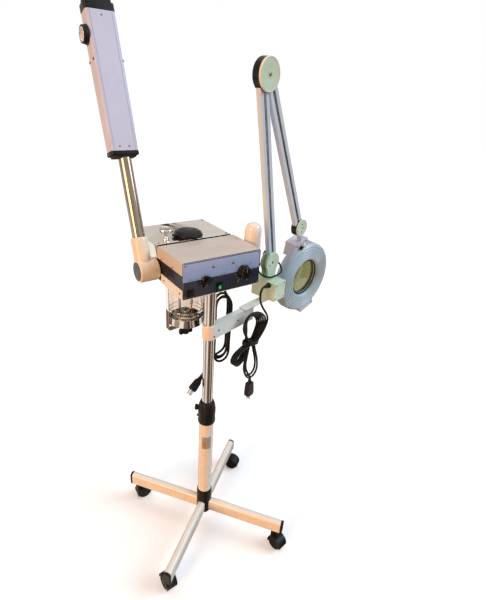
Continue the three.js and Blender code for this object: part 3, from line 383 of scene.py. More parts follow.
def rounded(cx, cy, width, height, radius, steps=6):
    """Rectangle with rounded corners. radius may be (lower, upper)."""
    lower, upper = radius if isinstance(radius, tuple) else (radius, radius)
    points = []
    for sx, sy, r, start in ((1, -1, lower, -90), (1, 1, upper, 0), (-1, 1, upper, 90), (-1, -1, lower, 180)):
        for i in range(steps + 1):
            angle = radians(start + 90 * i / steps)
            points.append((cx + sx * (width / 2 - r) + r * cos(angle),
                           cy + sy * (height / 2 - r) + r * sin(angle)))
    return points


def soften(o, edge, segments, angle):
    if edge:
        bevel = o.modifiers.new("edges", "BEVEL")
        bevel.width = edge * MM
        bevel.segments = segments
        bevel.limit_method = "ANGLE"
        bevel.angle_limit = radians(angle)
        bevel.harden_normals = True
        bevel.use_clamp_overlap = True
    else:
        o.modifiers.new("edges", "EDGE_SPLIT").split_angle = radians(angle)


def listed(mats):
    return mats if isinstance(mats, list) else [mats]


def piece(name, body, mats, node=None, edge=0, angle=35, segments=2):
    """Finished object from the draft, riding on body. node is the CAD node that it stands for."""
    bmesh.ops.remove_doubles(Draft.bm, verts=Draft.bm.verts, dist=1e-7)
    bmesh.ops.recalc_face_normals(Draft.bm, faces=Draft.bm.faces)
    mesh = bpy.data.meshes.new(name)
    Draft.bm.to_mesh(mesh)
    Draft.bm.clear()
    for m in listed(mats):
        mesh.materials.append(m)
    mesh.polygons.foreach_set("use_smooth", [True] * len(mesh.polygons))
    o = linked(bpy.data.objects.new(name, mesh))
    soften(o, edge, segments, angle)
    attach(o, body)
    if node:
        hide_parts(node)
    return o


def dress(node, mats, edge, pick=None):
    """Finishes a CAD node as it is: material, smooth faces, softened edges."""
    o = frame["nodes"][node]
    mesh = o.data
    if "custom_normal" in mesh.attributes:
        mesh.attributes.remove(mesh.attributes["custom_normal"])
    mesh.materials.clear()
    for m in listed(mats):
        mesh.materials.append(m)
    for p in mesh.polygons:
        p.use_smooth = True
        if pick:
            p.material_index = pick(p.center)
    weld = o.modifiers.new("weld", "WELD")
    weld.merge_threshold = 1e-5
    soften(o, edge, 2, 35)


# ---------------------------------------------------------------- leads
def smooth_path(points):
    """Dense centripetal Catmull-Rom curve through the points, in millimetres."""
    pts = [Vector(p) for p in points]
    ends = [pts[0] * 2 - pts[1], *pts, pts[-1] * 2 - pts[-2]]
    out, per = [], 10
    for p0, p1, p2, p3 in zip(ends, ends[1:], ends[2:], ends[3:]):
        t1 = (p1 - p0).length ** 0.5
        t2 = t1 + (p2 - p1).length ** 0.5
        t3 = t2 + (p3 - p2).length ** 0.5
        for i in range(per):
            t = t1 + (t2 - t1) * i / per
            a1 = p0 * ((t1 - t) / t1) + p1 * (t / t1)
            a2 = p1 * ((t2 - t) / (t2 - t1)) + p2 * ((t - t1) / (t2 - t1))
            a3 = p2 * ((t3 - t) / (t3 - t2)) + p3 * ((t - t2) / (t3 - t2))
            b1 = a1 * ((t2 - t) / t2) + a2 * (t / t2)
            b2 = a2 * ((t3 - t) / (t3 - t1)) + a3 * ((t - t1) / (t3 - t1))
            out.append(b1 * ((t2 - t) / (t2 - t1)) + b2 * ((t - t1) / (t2 - t1)))
    out.append(pts[-1])
    return out


def relaxed(points, rounds):
    """The same line with its tight bends eased; the ends stay, and so do the two points next to each."""
    pts = list(points)
    for _ in range(rounds):
        pts = [*pts[:3], *((a + b * 2 + c) / 4 for a, b, c in zip(pts[2:], pts[3:], pts[4:-1])), *pts[-3:]]
    return pts


def evened(points, gap):
    """The same line with its points about gap apart."""
    out, left = [points[0]], gap
    for a, b in zip(points, points[1:]):
        span = (b - a).length
        while span > left:
            a = a + (b - a) * (left / span)
            out.append(a)
            span = (b - a).length
            left = gap
        left -= span
    if (out[-1] - points[-1]).length < gap * 0.5:
        out.pop()
    return [*out, points[-1]]


def lead(name, points, radius, body, material, nodes, gap=4.0, ease=14):
    """Round lead along the eased curve through the points, its line of points and its length."""
    line = evened(relaxed(evened(smooth_path(points), gap), ease), gap)
    line = [Draft.place @ p for p in line]
    curve = bpy.data.curves.new(name, "CURVE")
    curve.dimensions = "3D"
    curve.bevel_depth = radius * MM
    curve.bevel_resolution = 4
    curve.use_fill_caps = True
    spline = curve.splines.new("POLY")
    spline.points.add(len(line) - 1)
    for p, q in zip(spline.points, line):
        p.co = (*q, 1)
    spline.use_smooth = True
    curve.materials.append(material)
    o = linked(bpy.data.objects.new(name, curve))
    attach(o, body)
    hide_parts(*nodes)
    length = sum((b - a).length for a, b in zip(line, line[1:]))
    return o, line, length


MAINS_R, LAMP_R, CABLE_R = 4.0, 3.5, 3.0


def relief(name, at, along, node, r, foot, long):
    """Tapered bush with moulded rings where a lead leaves a housing."""
    profile = [(0, 0), (foot, 0), (foot, 3.5), (foot - 1.5, 5)]
    rings = 6
    for i in range(rings):
        h = 7 + (long - 9) * i / rings
        wide = foot - 2 + (r + 1 - foot + 2) * i / rings
        step = (long - 9) / rings
        profile += [(wide, h), (wide, h + step * 0.55), (wide - 0.9, h + step * 0.62),
                    (wide - 0.9, h + step * 0.95)]
    profile += [(r + 1, long - 2), (r + 0.6, long), (0, long)]
    lathe(profile, at, along, 32)
    return piece(name, "carriage", RUBBER, node)


def tie(name, centre, across, deep, along, wide):
    """Flat strap round a bundle: an oval band about centre."""
    local = turned_to(centre, along)
    steps, corner, thick = 40, 2.6, 1.4
    loops = []
    for grow, h in ((0, -wide / 2), (thick, -wide / 2), (thick, wide / 2), (0, wide / 2)):
        ring = []
        for k in range(steps):
            c, s = cos(tau * k / steps), sin(tau * k / steps)
            shape = (abs(c) ** corner + abs(s) ** corner) ** (-1 / corner)
            ring.append(vert((across + grow) * shape * c, (deep + grow) * shape * s, h, local))
        loops.append(ring)
    for a, b in zip(loops, loops[1:] + loops[:1]):
        for k in range(steps):
            n = (k + 1) % steps
            face([a[k], a[n], b[n], b[k]])
    return piece(name, "carriage", RUBBER, edge=0.3, segments=1)


def steamer_lead():
    """Three and a half long turns hung behind the bar, then a short tail to the plug."""
    points = [(85, 55, 983.2), (85, 55, 974), (84.4, 54.2, 962), (84, 51.5, 948)]
    middle, deep, step = 80, 44.6, 6.4
    bend, corner = 24.5, 7.5
    turns = ((26.5, 688, 936), (25.5, 704, 930), (26.5, 694, 941), (25.5, 712, 934))
    for k, (w, z0, z1) in enumerate(turns):
        half = (z0 + z1) / 2
        # right run down, round the bottom, left run up, round the top
        turn = [(w, z1 - bend, 0.0), (w + 1.5, half + 40, 0.1), (w + 0.5, half - 45, 0.22),
                (w, z0 + bend, 0.34), (w * 0.72, z0 + corner, 0.42), (0, z0, 0.5),
                (-w * 0.72, z0 + corner, 0.56), (-w, z0 + bend, 0.62), (-w - 1, half - 30, 0.72),
                (-w - 0.5, half + 50, 0.82), (-w, z1 - bend, 0.9), (-w * 0.72, z1 - corner, 0.94),
                (0, z1, 0.97), (w * 0.72, z1 - corner, 0.99)]
        if k == len(turns) - 1:
            turn = turn[:6]
        points += [(middle + x, deep + step * (k + share), z) for x, z, share in turn]
    points += [(62, 60.5, 713), (48, 53.5, 712), (33, 44.0, 704), (22, 37.5, 695), (14.2, 33.9, 687.6),
               (8.4, 32.1, 682.6)]
    cord, line, length = lead("steamer_mains_lead", points, MAINS_R, "carriage", RUBBER,
                              ("steamer_cord", "steamer_hank", "steamer_tail"))
    bush = relief("steamer_lead_bush", (85, 55, 1017.2), -Z, "steamer_strain_relief", MAINS_R, 10, 34)
    start, way = Vector((8, 32, 682)), Vector((-57, -13, -45)).normalized()
    lathe([(0, 0), (5, 0), (5.2, 4), (4.6, 5), (4.6, 7), (5.8, 8), (5.8, 12), (5.1, 13), (5.1, 15), (6.5, 16),
           (6.5, 20), (5.8, 21), (5.8, 23), (7.3, 24), (7.6, 31), (11, 35.5), (12.6, 41), (13.2, 50),
           (13.6, 58), (14, 60), (14, 68), (12.6, 72), (11.5, 73), (0, 73)], start, way, 48,
          lobes=(14, 0.9, 40, 58.5))
    plug = piece("steamer_mains_plug", "carriage", BLACK, "steamer_plug")
    for turn in (90, 210, 330):
        side = Matrix.Rotation(radians(turn), 3, way) @ Vector((0, 0.96, -0.28)).normalized() * 7
        lathe([(0, 0), (2.5, 0), (2.5, 18), (1.8, 19.6), (0, 20)], start + way * 71 + side, way, 16)
    prongs = piece("steamer_plug_prongs", "carriage", BRIGHT)
    band = tie("steamer_lead_tie", (middle, 54.5, 812), 31.5, 13.5, Z, 10)


def lamp_lead():
    """From the ballast box over the end of the bar: a hank of turns gathered at a waist, then the plug."""
    points = [(236, -17.4, 935.5), (228, -17.4, 935.2), (219, -19, 930), (208, -24, 917), (204, -30, 899),
              (209, -36, 880), (223, -40, 858)]
    # each turn: over the bar's end, down the right, through the tie, round a lower lobe, back up the left;
    # the even turns' lobe is a tongue out to the left, the odd turns' is a hook that hangs down
    tongue = ((18, 13), (44, 20), (65, 21.5), (80, 15.2), (86.5, 0), (80, -15.2), (65, -21.5), (44, -19),
              (18, -12))
    hook = ((184, 738), (201, 690), (211, 645), (207, 619), (186, 606), (160, 616), (143, 650), (148, 700),
            (156, 740))
    droop = 0.88, 0.475
    deep, step, last = -42.0, 3.9, 5
    for k in range(last + 1):
        waist = 8 * (k % 2)
        inset, fan = 6 * k, 8 * k
        route = [(164 + 0.8 * k, 878 - 4 * k), (201 - k, 866 - 5 * k), (239 - inset, 832 - 4 * k),
                 (236 - inset, 806), (212 - 3.5 * k, 776), (190 - waist, 758)]
        if k == last:
            points += [(x, deep + step * (k + i / 12), z) for i, (x, z) in enumerate(route)]
            break
        if k == 0:
            route = route[2:]
        if k % 2 == 0:
            route += [(158 - droop[0] * s - droop[1] * t, 750 - droop[1] * s + droop[0] * t)
                      for s, t in tongue]
        else:
            shrink = 3.0 * (k - 1)
            route += [(x + (178 - x) * shrink / 60, z + (700 - z) * shrink / 90) for x, z in hook]
        route += [(150 + waist, 762), (142 + 2.5 * k, 784), (121 + fan, 816 - k), (116 + fan, 842 - 3 * k),
                  (131 + 0.7 * fan, 868 - 5 * k)]
        points += [(x, deep + step * (k + i / len(route)), z) for i, (x, z) in enumerate(route)]
    points += [(174, -19.5, 722), (167, -19.6, 682), (165, -20.8, 652), (171, -24.0, 628), (179.6, -28.4, 612),
               (182, -30, 604)]
    cord, line, length = lead("lamp_mains_lead", points, LAMP_R, "carriage", RUBBER,
                              ("lamp_cord", "lamp_hank"))
    profile = [(0, 0), (5, 0), (5, 4.3), (9, 4.3), (9, 8.5), (8, 9.5), (6.8, 10)]
    for i in range(4):
        h = 12 + 4.2 * i
        r = 6.6 - 0.5 * i
        profile += [(r, h), (r, h + 2.2), (r - 0.8, h + 2.5), (r - 0.8, h + 3.9)]
    profile += [(4.7, 29), (4.3, 30), (0, 30)]
    lathe(profile, (266, -17.4, 935.5), -X, 32)
    bush = piece("lamp_lead_bush", "carriage", RUBBER, "lamp_cord_grommet")
    lathe([(0, 0), (4.5, 0), (4.8, 5), (4.2, 6), (4.2, 8), (5.4, 9), (5.4, 13), (4.8, 14), (4.8, 16),
           (6.2, 17), (6.2, 21), (5.6, 22), (7.5, 25), (9, 28), (9, 32), (0, 32)], (182, -30, 605),
          (0.11, 0, -0.99), 32)
    foot = [(172, 579), (169.5, 562), (168, 540), (170, 524), (173, 522), (196, 521), (202, 526), (203, 534),
            (200, 558), (197, 579)]
    prism(foot, "Y", -39, -21)
    for k in range(4):
        brick(173 + k, 197 - k, -39.6, -20.4, 545 + 8 * k, 549 + 8 * k)
    plug = piece("lamp_mains_plug", "carriage", BLACK, "lamp_plug", edge=1.2, segments=3)
    for x in (176, 191):
        brick(x - 3.2, x + 3.2, -30.8, -29.2, 505, 522)
    lathe([(0, 0), (2.6, 0), (2.6, 15), (1.6, 17), (0, 17)], (183.5, -35, 522), -Z, 16)
    prongs = piece("lamp_plug_prongs", "carriage", BRIGHT, edge=0.3, segments=1)
    band = tie("lamp_lead_tie", (170, -29.8, 757), 36, 15, (0.25, 0, 1), 13)


def lamp_arm_lead():
    """Loop from the lower arm's pivot round to the gland on the yoke's foot."""
    points = [(-27, 16, 996), (-34, 16, 992), (-41, 14, 982), (-42, 6, 971), (-37, -8, 962), (-22, -22, 957),
              (0, -27, 956), (20, -29, 958), (38, -27, 962), (50, -19, 969), (52, -10.5, 979), (47, -6, 988.5),
              (38.5, -3.5, 992), (30.5, -2.4, 988.5), (25.8, -2, 980), (25, -2, 970), (25, -2, 958.4)]
    cord, line, length = lead("lamp_arm_lead", points, CABLE_R, "lamp_base", RUBBER,
                              ("lamp_arm_cable",), 3.0, ease=4)


def build(*steps):
    """Runs pairs of a local frame and the function that draws in it."""
    for place, draw in steps:
        Draft.place = place
        draw()


build((POST, steamer_lead), (BRACKET, lamp_lead), (ARM, lamp_arm_lead))


# ---------------------------------------------------------------- rolling base
def rolling_base():
    lathe([(0, 62), (20, 62), (25.5, 64), (27.5, 68), (27.5, 168), (26.3, 173), (25, 177), (0, 177)])
    # Hidden core: the smallest edge of a piece caps the width of all its bevels.
    brick(-3, 3, -3, 3, 66, 67)
    piece("hub_moulding", "base", BLACK, "hub", edge=0.8)
    for i in range(1, 5):
        at = joint_at(f"caster_swivel_{i}")
        azimuth = atan2(at.y, at.x)
        Draft.place = POST @ Matrix.Rotation(azimuth, 4, "Z")
        prism(rounded(0, 98, 26, 50, (4, 12)), "X", 21, 303)
        piece(f"leg_tube_{i}", "base", CREAM, f"leg_{i}", edge=0.4, segments=1)
        prism(rounded(0, 98, 26.6, 50.6, (4.2, 12.2)), "X", 302.6, 311.7)
        piece(f"leg_cap_{i}", "base", BLACK, edge=2.2, segments=3)
        Draft.place = POST
        roll = axis_of(f"caster_roll_{i}")
        hub_at = joint_at(f"caster_roll_{i}")
        dress(f"caster_hood_{i}", BLACK, 0.7)
        for side in (-1, 1):
            way = roll * side
            lathe([(0, 6.4), (24.3, 6.4), (25.4, 7.2), (26, 8.8), (26, 10.6), (25.5, 11), (25.5, 11.6),
                   (26, 12), (26, 16), (24.5, 18), (22.6, 19.1)], hub_at, way, 64, 0)
            lathe([(22.6, 19.1), (21.2, 19.1), (20.4, 17.6), (12, 16.4), (9.5, 17.4), (8.8, 19.3), (0, 19.5)],
                  hub_at, way, 64, 1)
        rod(3, -7, 7, hub_at, roll, 16, 1)
        piece(f"caster_twin_wheels_{i}", f"caster_roller_{i}", [TREAD, BLACK], f"caster_wheels_{i}")


def post():
    lathe([(24.3, 177.3), (24.3, 539), (23.4, 540), (18.2, 540), (18.2, 177.3)], steps=96, closed=True)
    piece("outer_post", "base", CREAM, "outer_column")
    start, end = radians(205), radians(282)
    for z0, z1, r, paint in ((392, 446, 24.45, 0), (394, 428, 24.5, 1)):
        steps = 20
        a0 = start if paint == 0 else start + 0.25
        a1 = end if paint == 0 else end - 0.35
        inner = [(r - 0.4, a0 + (a1 - a0) * k / steps) for k in range(steps + 1)]
        outer = [(r, a) for _, a in reversed(inner)]
        outline = [(q * cos(a), q * sin(a)) for q, a in inner + outer]
        prism(outline, "Z", z0, z1, paint)
    piece("post_sticker", "base", [STICKER_GREY, STICKER])
    lathe([(24.6, 501), (26.6, 501), (28.6, 503), (29.5, 508), (29.5, 512), (28.7, 513), (28.7, 540),
           (29.5, 541), (29.5, 558), (28.8, 562), (27.6, 564), (27.6, 571), (26.9, 574), (25.4, 580),
           (23, 586), (22, 587), (17.8, 587), (17.8, 540.3), (24.6, 540.3)], steps=120, closed=True,
          lobes=(20, 1.1, 513.5, 539.5))
    way = axis_of("clamp_knob_turn")
    at = Vector((0, 0, joint_at("clamp_knob_turn").z))
    lathe([(0, 23), (9, 23), (9, 30.2), (8.2, 31), (0, 31)], at, way, 32)
    side = way.cross(Z)
    for s in (-1, 1):
        lathe([(0, 24), (4.2, 24), (4.2, 33), (3.4, 34), (0, 34)], at - Z * 34 - side * (9 * s),
              way + side * (0.3 * s), 20)
    piece("clamp_collar", "base", BLACK, "height_clamp")
    lathe([(0, 18), (4, 18), (4, 31.4), (9, 31.4), (10, 32.6), (10, 38), (9, 39.4), (7, 40), (0, 40)], at, way,
          72, lobes=(12, 1.2, 31.5, 39.3))
    piece("clamp_hand_knob", "clamp_knob_body", BLACK, "clamp_knob")
    lathe([(17.5, 300), (17.5, 1017.2), (15.5, 1017.2), (15.5, 300)], steps=96, closed=True)
    piece("chromed_post", "carriage", CHROME, "inner_column")


# ---------------------------------------------------------------- lamp bracket and ballast
def bracket():
    dress("lamp_bracket", [BAR, CREAM], 0.6, lambda c: 1 if (c.xy - post_at.xy).length < 0.0235 else 0)
    for x, z in ((32, 851), (182, 851), (120, 851)):
        screw((x, -10, z), -Y, 3.6)
    screw((0, -21.3, 846), -Y, 3.4)
    for x in (236, 250, 312):
        screw((x, 6, 880.0), Z, 2.8, height=0.3)
    piece("bracket_screws", "carriage", SCREW)
    dress("ballast_box", MINT, 0.9)
    for k in range(6):
        y = -36 + 11 * k
        if abs(y + 17.4) < 8:
            continue
        prism(rounded(y, 902, 3.4, 26, 1.6, 4), "X", 261.3, 262.4)
    piece("ballast_louvres", "carriage", IVORY, edge=0.3, segments=1)
    for x, z in ((270, 888), (314, 888), (270, 938), (314, 938)):
        screw((x, -43, z), -Y, 2.4)
    piece("ballast_screws", "carriage", SCREW)


# ---------------------------------------------------------------- ring lamp
# Along ARM's Y: the front of the coloured discs, their sunk centres, and where a drum's two halves part.
DISC_FACE, DISC_CENTRE, PARTING = -16, -14.8, -0.15


def rim_disc(at, r, y0, y1, lip, rim, rear):
    """Coloured disc facing -Y with a raised rim, a sunk centre and a plain rear part. rim and rear are the
    numbers of their materials."""
    long = y1 - y0
    lathe([(0, 0), (r - 0.4, 0), (r - 0.4, long - 5.0), (r, long - 5.0)], (at.x, y1, at.z), -Y, 96, rear)
    lathe([(r, long - 5.0), (r, long - 1.4), (r - 0.9, long - 0.2), (r - 1.6, long), (r - lip, long),
           (r - lip - 0.5, long - 0.9)], (at.x, y1, at.z), -Y, 96, rim)
    lathe([(r - lip - 0.5, long - 0.9), (r * 0.35, long - 0.7), (r * 0.30, long - 1.2), (0, long - 1.2)],
          (at.x, y1, at.z), -Y, 96)


def arc_end(a, b, width, centre, radius):
    """Bar outline from a towards b, its far end hollowed to fit round centre."""
    along = (b - a).normalized()
    side = Vector((-along.y, along.x))
    corners = []
    for s in (-1, 1):
        p = a + side * (s * width / 2)
        d = p - centre
        k = d.dot(along)
        t = -k - sqrt(max(k * k - d.length_squared + radius * radius, 0))
        corners.append((p, p + along * t))
    (p0, q0), (p1, q1) = corners
    angle = [atan2((q - centre).y, (q - centre).x) for q in (q0, q1)]
    turn = (angle[1] - angle[0] + pi) % tau - pi
    arc = [centre + Vector((cos(angle[0] + turn * i / 10), sin(angle[0] + turn * i / 10))) * radius
           for i in range(11)]
    return [tuple(v) for v in (p0, *arc, p1)]


def arm_bar(name, a, b, body, node):
    """Long bar up to the elbow's drum, with raised rails each side of a groove whose floor is painted
    near-black as shade.
    """
    a, b, c = (Vector(p) for p in (a, b, (ELBOW.x, ELBOW.z)))
    radius = 43.6
    along = (b - a).normalized()
    side = Vector((-along.y, along.x))
    prism(arc_end(a, b, 36, c, radius), "Y", -5.6, 8)
    for s in (-1, 1):
        shift = side * (s * 11.6)
        prism(arc_end(a + shift, b + shift, 12.8, c, radius), "Y", -8, -5.5)
    piece(name, body, POWDER, node, edge=0.9)
    # Near-black strip on the groove's floor: painted shade in the groove; a thin bright strip runs down its
    # middle.
    prism(arc_end(a, b, 9.8, c, radius), "Y", -6.0, -5.58, 0)
    prism(arc_end(a, b, 2.4, c, radius), "Y", -6.9, -5.9, 1)
    piece(name + "_groove", body, [GROOVE_SHADE, BRIGHT])


def lamp_yoke():
    lathe([(0, 945.3), (26, 945.3), (26, 948.6), (25, 950.4), (23, 951), (0, 951)], steps=96)
    for y0, y1 in ((-15.5, -8.6), (8.6, 12.5)):
        prism([(-18, 948), (18, 948), (21, 960), (25, 990), (-25, 990), (-21, 960)], "Y", y0, y1)
    lathe([(0, 0), (34, 0), (34, 3), (33, 3.9), (0, 3.9)], (LOWER.x, 8.6, LOWER.z), Y, 96)
    rim_disc(LOWER, 34, DISC_FACE, -8.6, 1.6, rim=0, rear=0)
    brick(12, 33, -10, 6, 945.3, 951)
    piece("lamp_fork", "lamp_base", [MINT, IVORY], "lamp_yoke", edge=0.7)
    screw((LOWER.x, DISC_CENTRE, LOWER.z), -Y, 4.6, height=1.2)
    rod(3, 0, 0.8, (LOWER.x - 14, DISC_CENTRE, LOWER.z - 8), -Y, 20)
    piece("lamp_fork_screws", "lamp_base", SCREW)
    lathe([(0, 0), (6, 0), (6, 4), (13, 4.5), (14, 6), (14, 13.5), (12.5, 15.5), (0, 15.5)], (10, 12.5, 1020),
          Y, 84, lobes=(12, 1.6, 4.6, 15))
    lathe([(0, 0), (7, 0), (7, 5), (6.4, 6), (6.4, 7.5), (5.4, 9), (5, 11.4), (3.2, 11.4), (0, 11.4)],
          (25, -2, 947), Z, 24, lobes=(6, 0.6, 0, 5))
    piece("lamp_tension_knob", "lamp_base", GLOSS)


def lamp_arms():
    arm_bar("lower_bar", (12, LOWER.z), (-114.5, ELBOW.z), "lamp_lower", "lower_arm")
    lathe([(0, 0), (18, 0), (18, 15.6), (17.4, 16), (0, 16)], (12, 8, LOWER.z), -Y, 64)
    piece("lower_bar_end", "lamp_lower", POWDER)
    lathe([(0, 0), (43, 0), (43, 4.2), (42.3, 4.8), (42.3, 5.8), (43, 6.4), (43, 10.8), (41.8, 12.2),
           (14, 12.35), (13, 11.4), (0, 11.4)], (ELBOW.x, 0.15, ELBOW.z), Y, 96)
    rod(7, 0, 7, (ELBOW.x, 0.2, ELBOW.z), -Y, 32)
    piece("elbow_drum", "lamp_lower", GLOSS)
    screw((ELBOW.x, 11.4, ELBOW.z), Y, 5, height=1.1)
    piece("elbow_nut", "lamp_lower", SCREW)

    # the bar runs from the head disc up to the elbow disc
    foot, top = Vector((152.9, HEAD_JOINT.z)), Vector((-85, ELBOW.z))
    foot -= (foot - top).normalized() * 20
    arm_bar("upper_bar", foot, top, "lamp_upper", "upper_arm")
    rim_disc(ELBOW, 43, DISC_FACE, PARTING, 3.0, rim=1, rear=2)
    lathe([(6.6, 0), (8.6, 0), (8.6, 0.9), (6.6, 0.9)], (ELBOW.x, DISC_CENTRE, ELBOW.z), -Y, 48, 1,
          closed=True)
    piece("elbow_disc", "lamp_upper", [MINT, IVORY, GLOSS])
    screw((ELBOW.x, DISC_CENTRE, ELBOW.z), -Y, 5.0, height=1.2)
    for s in (-1, 1):
        screw((HEAD_JOINT.x - 1, DISC_CENTRE, HEAD_JOINT.z + 13 * s), -Y, 3.4, height=1.2)
    brick(HEAD_JOINT.x - 9, HEAD_JOINT.x + 9, -15.1, -14.5, HEAD_JOINT.z - 1.2, HEAD_JOINT.z + 1.2)
    piece("arm_screws", "lamp_upper", SCREW)
    rim_disc(HEAD_JOINT, 30, DISC_FACE, PARTING, 1.4, rim=0, rear=2)
    piece("head_disc", "lamp_upper", [MINT, IVORY, GLOSS])


def on_way(s):
    return HEAD_JOINT + HEAD_WAY * s


def across(a, b, width):
    """Strip outline in (x, z) between two points."""
    a, b = Vector((a.x, a.z)), Vector((b.x, b.z))
    along = (b - a).normalized()
    side = Vector((-along.y, along.x)) * width / 2
    return [tuple(v) for v in (a - side, b - side, b + side, a + side)]


def lamp_neck():
    lathe([(0, 0), (30, 0), (30, 11), (29, 12.2), (0, 12.35)], (HEAD_JOINT.x, 0.15, HEAD_JOINT.z), Y, 96)
    rod(6, 0, 7, (HEAD_JOINT.x, 0.2, HEAD_JOINT.z), -Y, 32)
    lathe([(0, 31), (9, 31), (9, 52), (8, 54), (5, 54), (5, 70), (0, 70)], HEAD_JOINT, HEAD_WAY, 48, 1)
    piece("head_swivel", "lamp_neck", [GLOSS, HOUSING], "head_yoke")


RING_R = 136.5
RING_AT = (RING - HEAD_JOINT).length
RIM_AT = RING_AT - RING_R


def head_plane(s, t):
    """(x, z) of a point s along the neck and t to its side."""
    return HEAD_JOINT.x + HEAD_WAY.x * s - HEAD_WAY.z * t, HEAD_JOINT.z + HEAD_WAY.z * s + HEAD_WAY.x * t


def rim_point(t):
    """Point just inside the ring's rim, t to the side of the neck."""
    return RING_AT - sqrt((RING_R - 0.6) ** 2 - t * t), t


def lamp_head():
    back = 22
    lathe([(134, 0), (136.5, 0), (136.5, 3), (135.6, 3.6), (135.6, 5), (136.5, 5.6), (136.5, 15.5),
           (135.2, 18.8), (132.5, 21), (129.5, back), (112, back), (110.6, back - 0.8), (96, back - 0.8),
           (94.6, back), (74, back), (71.4, back - 0.9), (70, back - 3), (70, 9), (66, 9), (66, 6.8),
           (70, 6.8), (70, 0), (72.5, 0), (72.5, 19.5), (129, 19.5), (134, 15)], RING, Y, 144, closed=True)
    wing = [(56, -30), (66, -34)]
    wing += [rim_point(t) for t in (-78, -72, -66, -56, -44, -30, -15, 0, 15, 30, 44, 56, 66, 72, 78)]
    wing += [(66, 34), (56, 30)]
    prism([head_plane(s, t) for s, t in wing], "Y", -10, 12)
    box = [(58, -26), (RIM_AT + 20, -48), (RIM_AT + 20, 48), (58, 26)]
    prism([head_plane(s, t) for s, t in box], "Y", 11.5, 42)
    prism([head_plane(s, t) for s, t in ((55.4, -32), (60.5, -34), (60.5, 34), (55.4, 32))], "Y", -14, 40)
    lathe([(0, 54.3), (10, 54.3), (11, 55.3), (11, RIM_AT + 2), (0, RIM_AT + 2)], HEAD_JOINT, HEAD_WAY, 48)
    far = [(2 * RING_AT - rim_point(t)[0] + 0.8, t) for t in range(-39, 40, 6)]
    edge = RIM_AT + 2 * RING_R + 13
    tab = [head_plane(s, t) for s, t in [(edge, -39), *far, (edge, 39)]]
    prism(tab, "Y", -15, 14)
    prism([head_plane(s, t) for s, t in ((edge - 0.5, -40), (edge - 0.5, 40), (edge + 2, 40),
                                         (edge + 2, -40))], "Y", -17, 14)
    piece("lamp_shell", "lamp_head", HOUSING, "head_housing", edge=1.0, segments=3)

    side = Vector((-HEAD_WAY.z, 0, HEAD_WAY.x))
    for s in (-1, 1):
        at = on_way(66) + side * (25 * s)
        screw((at.x, -10, at.z), -Y, 3.4)
    at = on_way(RIM_AT + 2 * RING_R + 6) + side * 28
    screw((at.x, -15, at.z), -Y, 3.0)
    piece("lamp_foot_screws", "lamp_head", SCREW)
    at = on_way(RIM_AT - 3) - side * 8
    lathe([(0, 0), (6.5, 0), (7, 1), (7, 8), (6, 9.5), (0, 9.5)], (at.x, -9.5, at.z), -Y, 48,
          lobes=(10, 0.9, 0.5, 9))
    piece("lamp_thumb_screw", "lamp_head", GLOSS)
    at = on_way(RIM_AT - 4) + side * 9
    lathe([(0, 0), (7, 0), (8, 1.4), (8, 6), (5.6, 8.6), (3, 9.6), (0, 9.9)], (at.x, -10, at.z), -Y, 48)
    piece("lamp_button", "lamp_head", IVORY)

    front = -22
    profile = [(134, -0.3), (136, -0.3), (136, front + 11), (135, front + 7.5), (132.5, front + 4.4),
               (130.6, front + 4.0), (130, front + 4.9)]
    ribs = 6
    for k in range(ribs):
        r = 128 - k * 8.6
        crest = front + 0.022 * (k - 1.6) ** 2 * (1 if k > 1.6 else 20)
        profile += [(r, crest + 0.9), (r - 1.6, crest), (r - 5.6, crest), (r - 7.0, crest + 0.5),
                    (r - 7.6, crest + 1.7)]
    profile += [(76, front + 1.9), (73.6, front + 4.0), (71.4, front + 8), (70, front + 12), (70, -9),
                (66, -9), (66, -6.8), (70, -6.8), (70, -0.3), (72.5, -0.3), (72.5, front + 12),
                (79, front + 4.8), (125.5, front + 4.8), (133, front + 11)]
    lathe(profile, RING, Y, 144, closed=True)
    piece("lamp_diffuser", "lamp_head", DIFFUSER, "diffuser_ring", angle=60)
    lathe([(65.2, -12.5), (69.8, -12.5), (69.8, -9.1), (65.9, -9.1)], RING, Y, 96, closed=True)
    piece("lens_trim", "lamp_head", BLACK, edge=0.4)
    bulge = [(69.4 * k, 2.0 + 4.2 * (1 - k * k)) for k in (0.99, 0.9, 0.8, 0.7, 0.6, 0.5, 0.4, 0.3, 0.2, 0.1)]
    profile = [(0, -6.2)] + [(r, -h) for r, h in reversed(bulge)] + [(69.5, -1.8),
                                                                     (69.5, 1.8)] + bulge + [(0, 6.2)]
    lathe(profile, RING, Y, 96)
    piece("magnifier", "lamp_head", LENS, "lens", angle=50)
    circle = [(101 + 8 * cos(tau * k / 20), 3 + 8 * sin(tau * k / 20)) for k in range(20)]
    lathe(circle, RING, Y, 120, closed=True)
    piece("ring_tube", "lamp_head", TUBE, "circular_tube")


# ---------------------------------------------------------------- control box
def in_post(box):
    """A CAD node's box in POST."""
    return (POST.inverted() @ v for v in box)


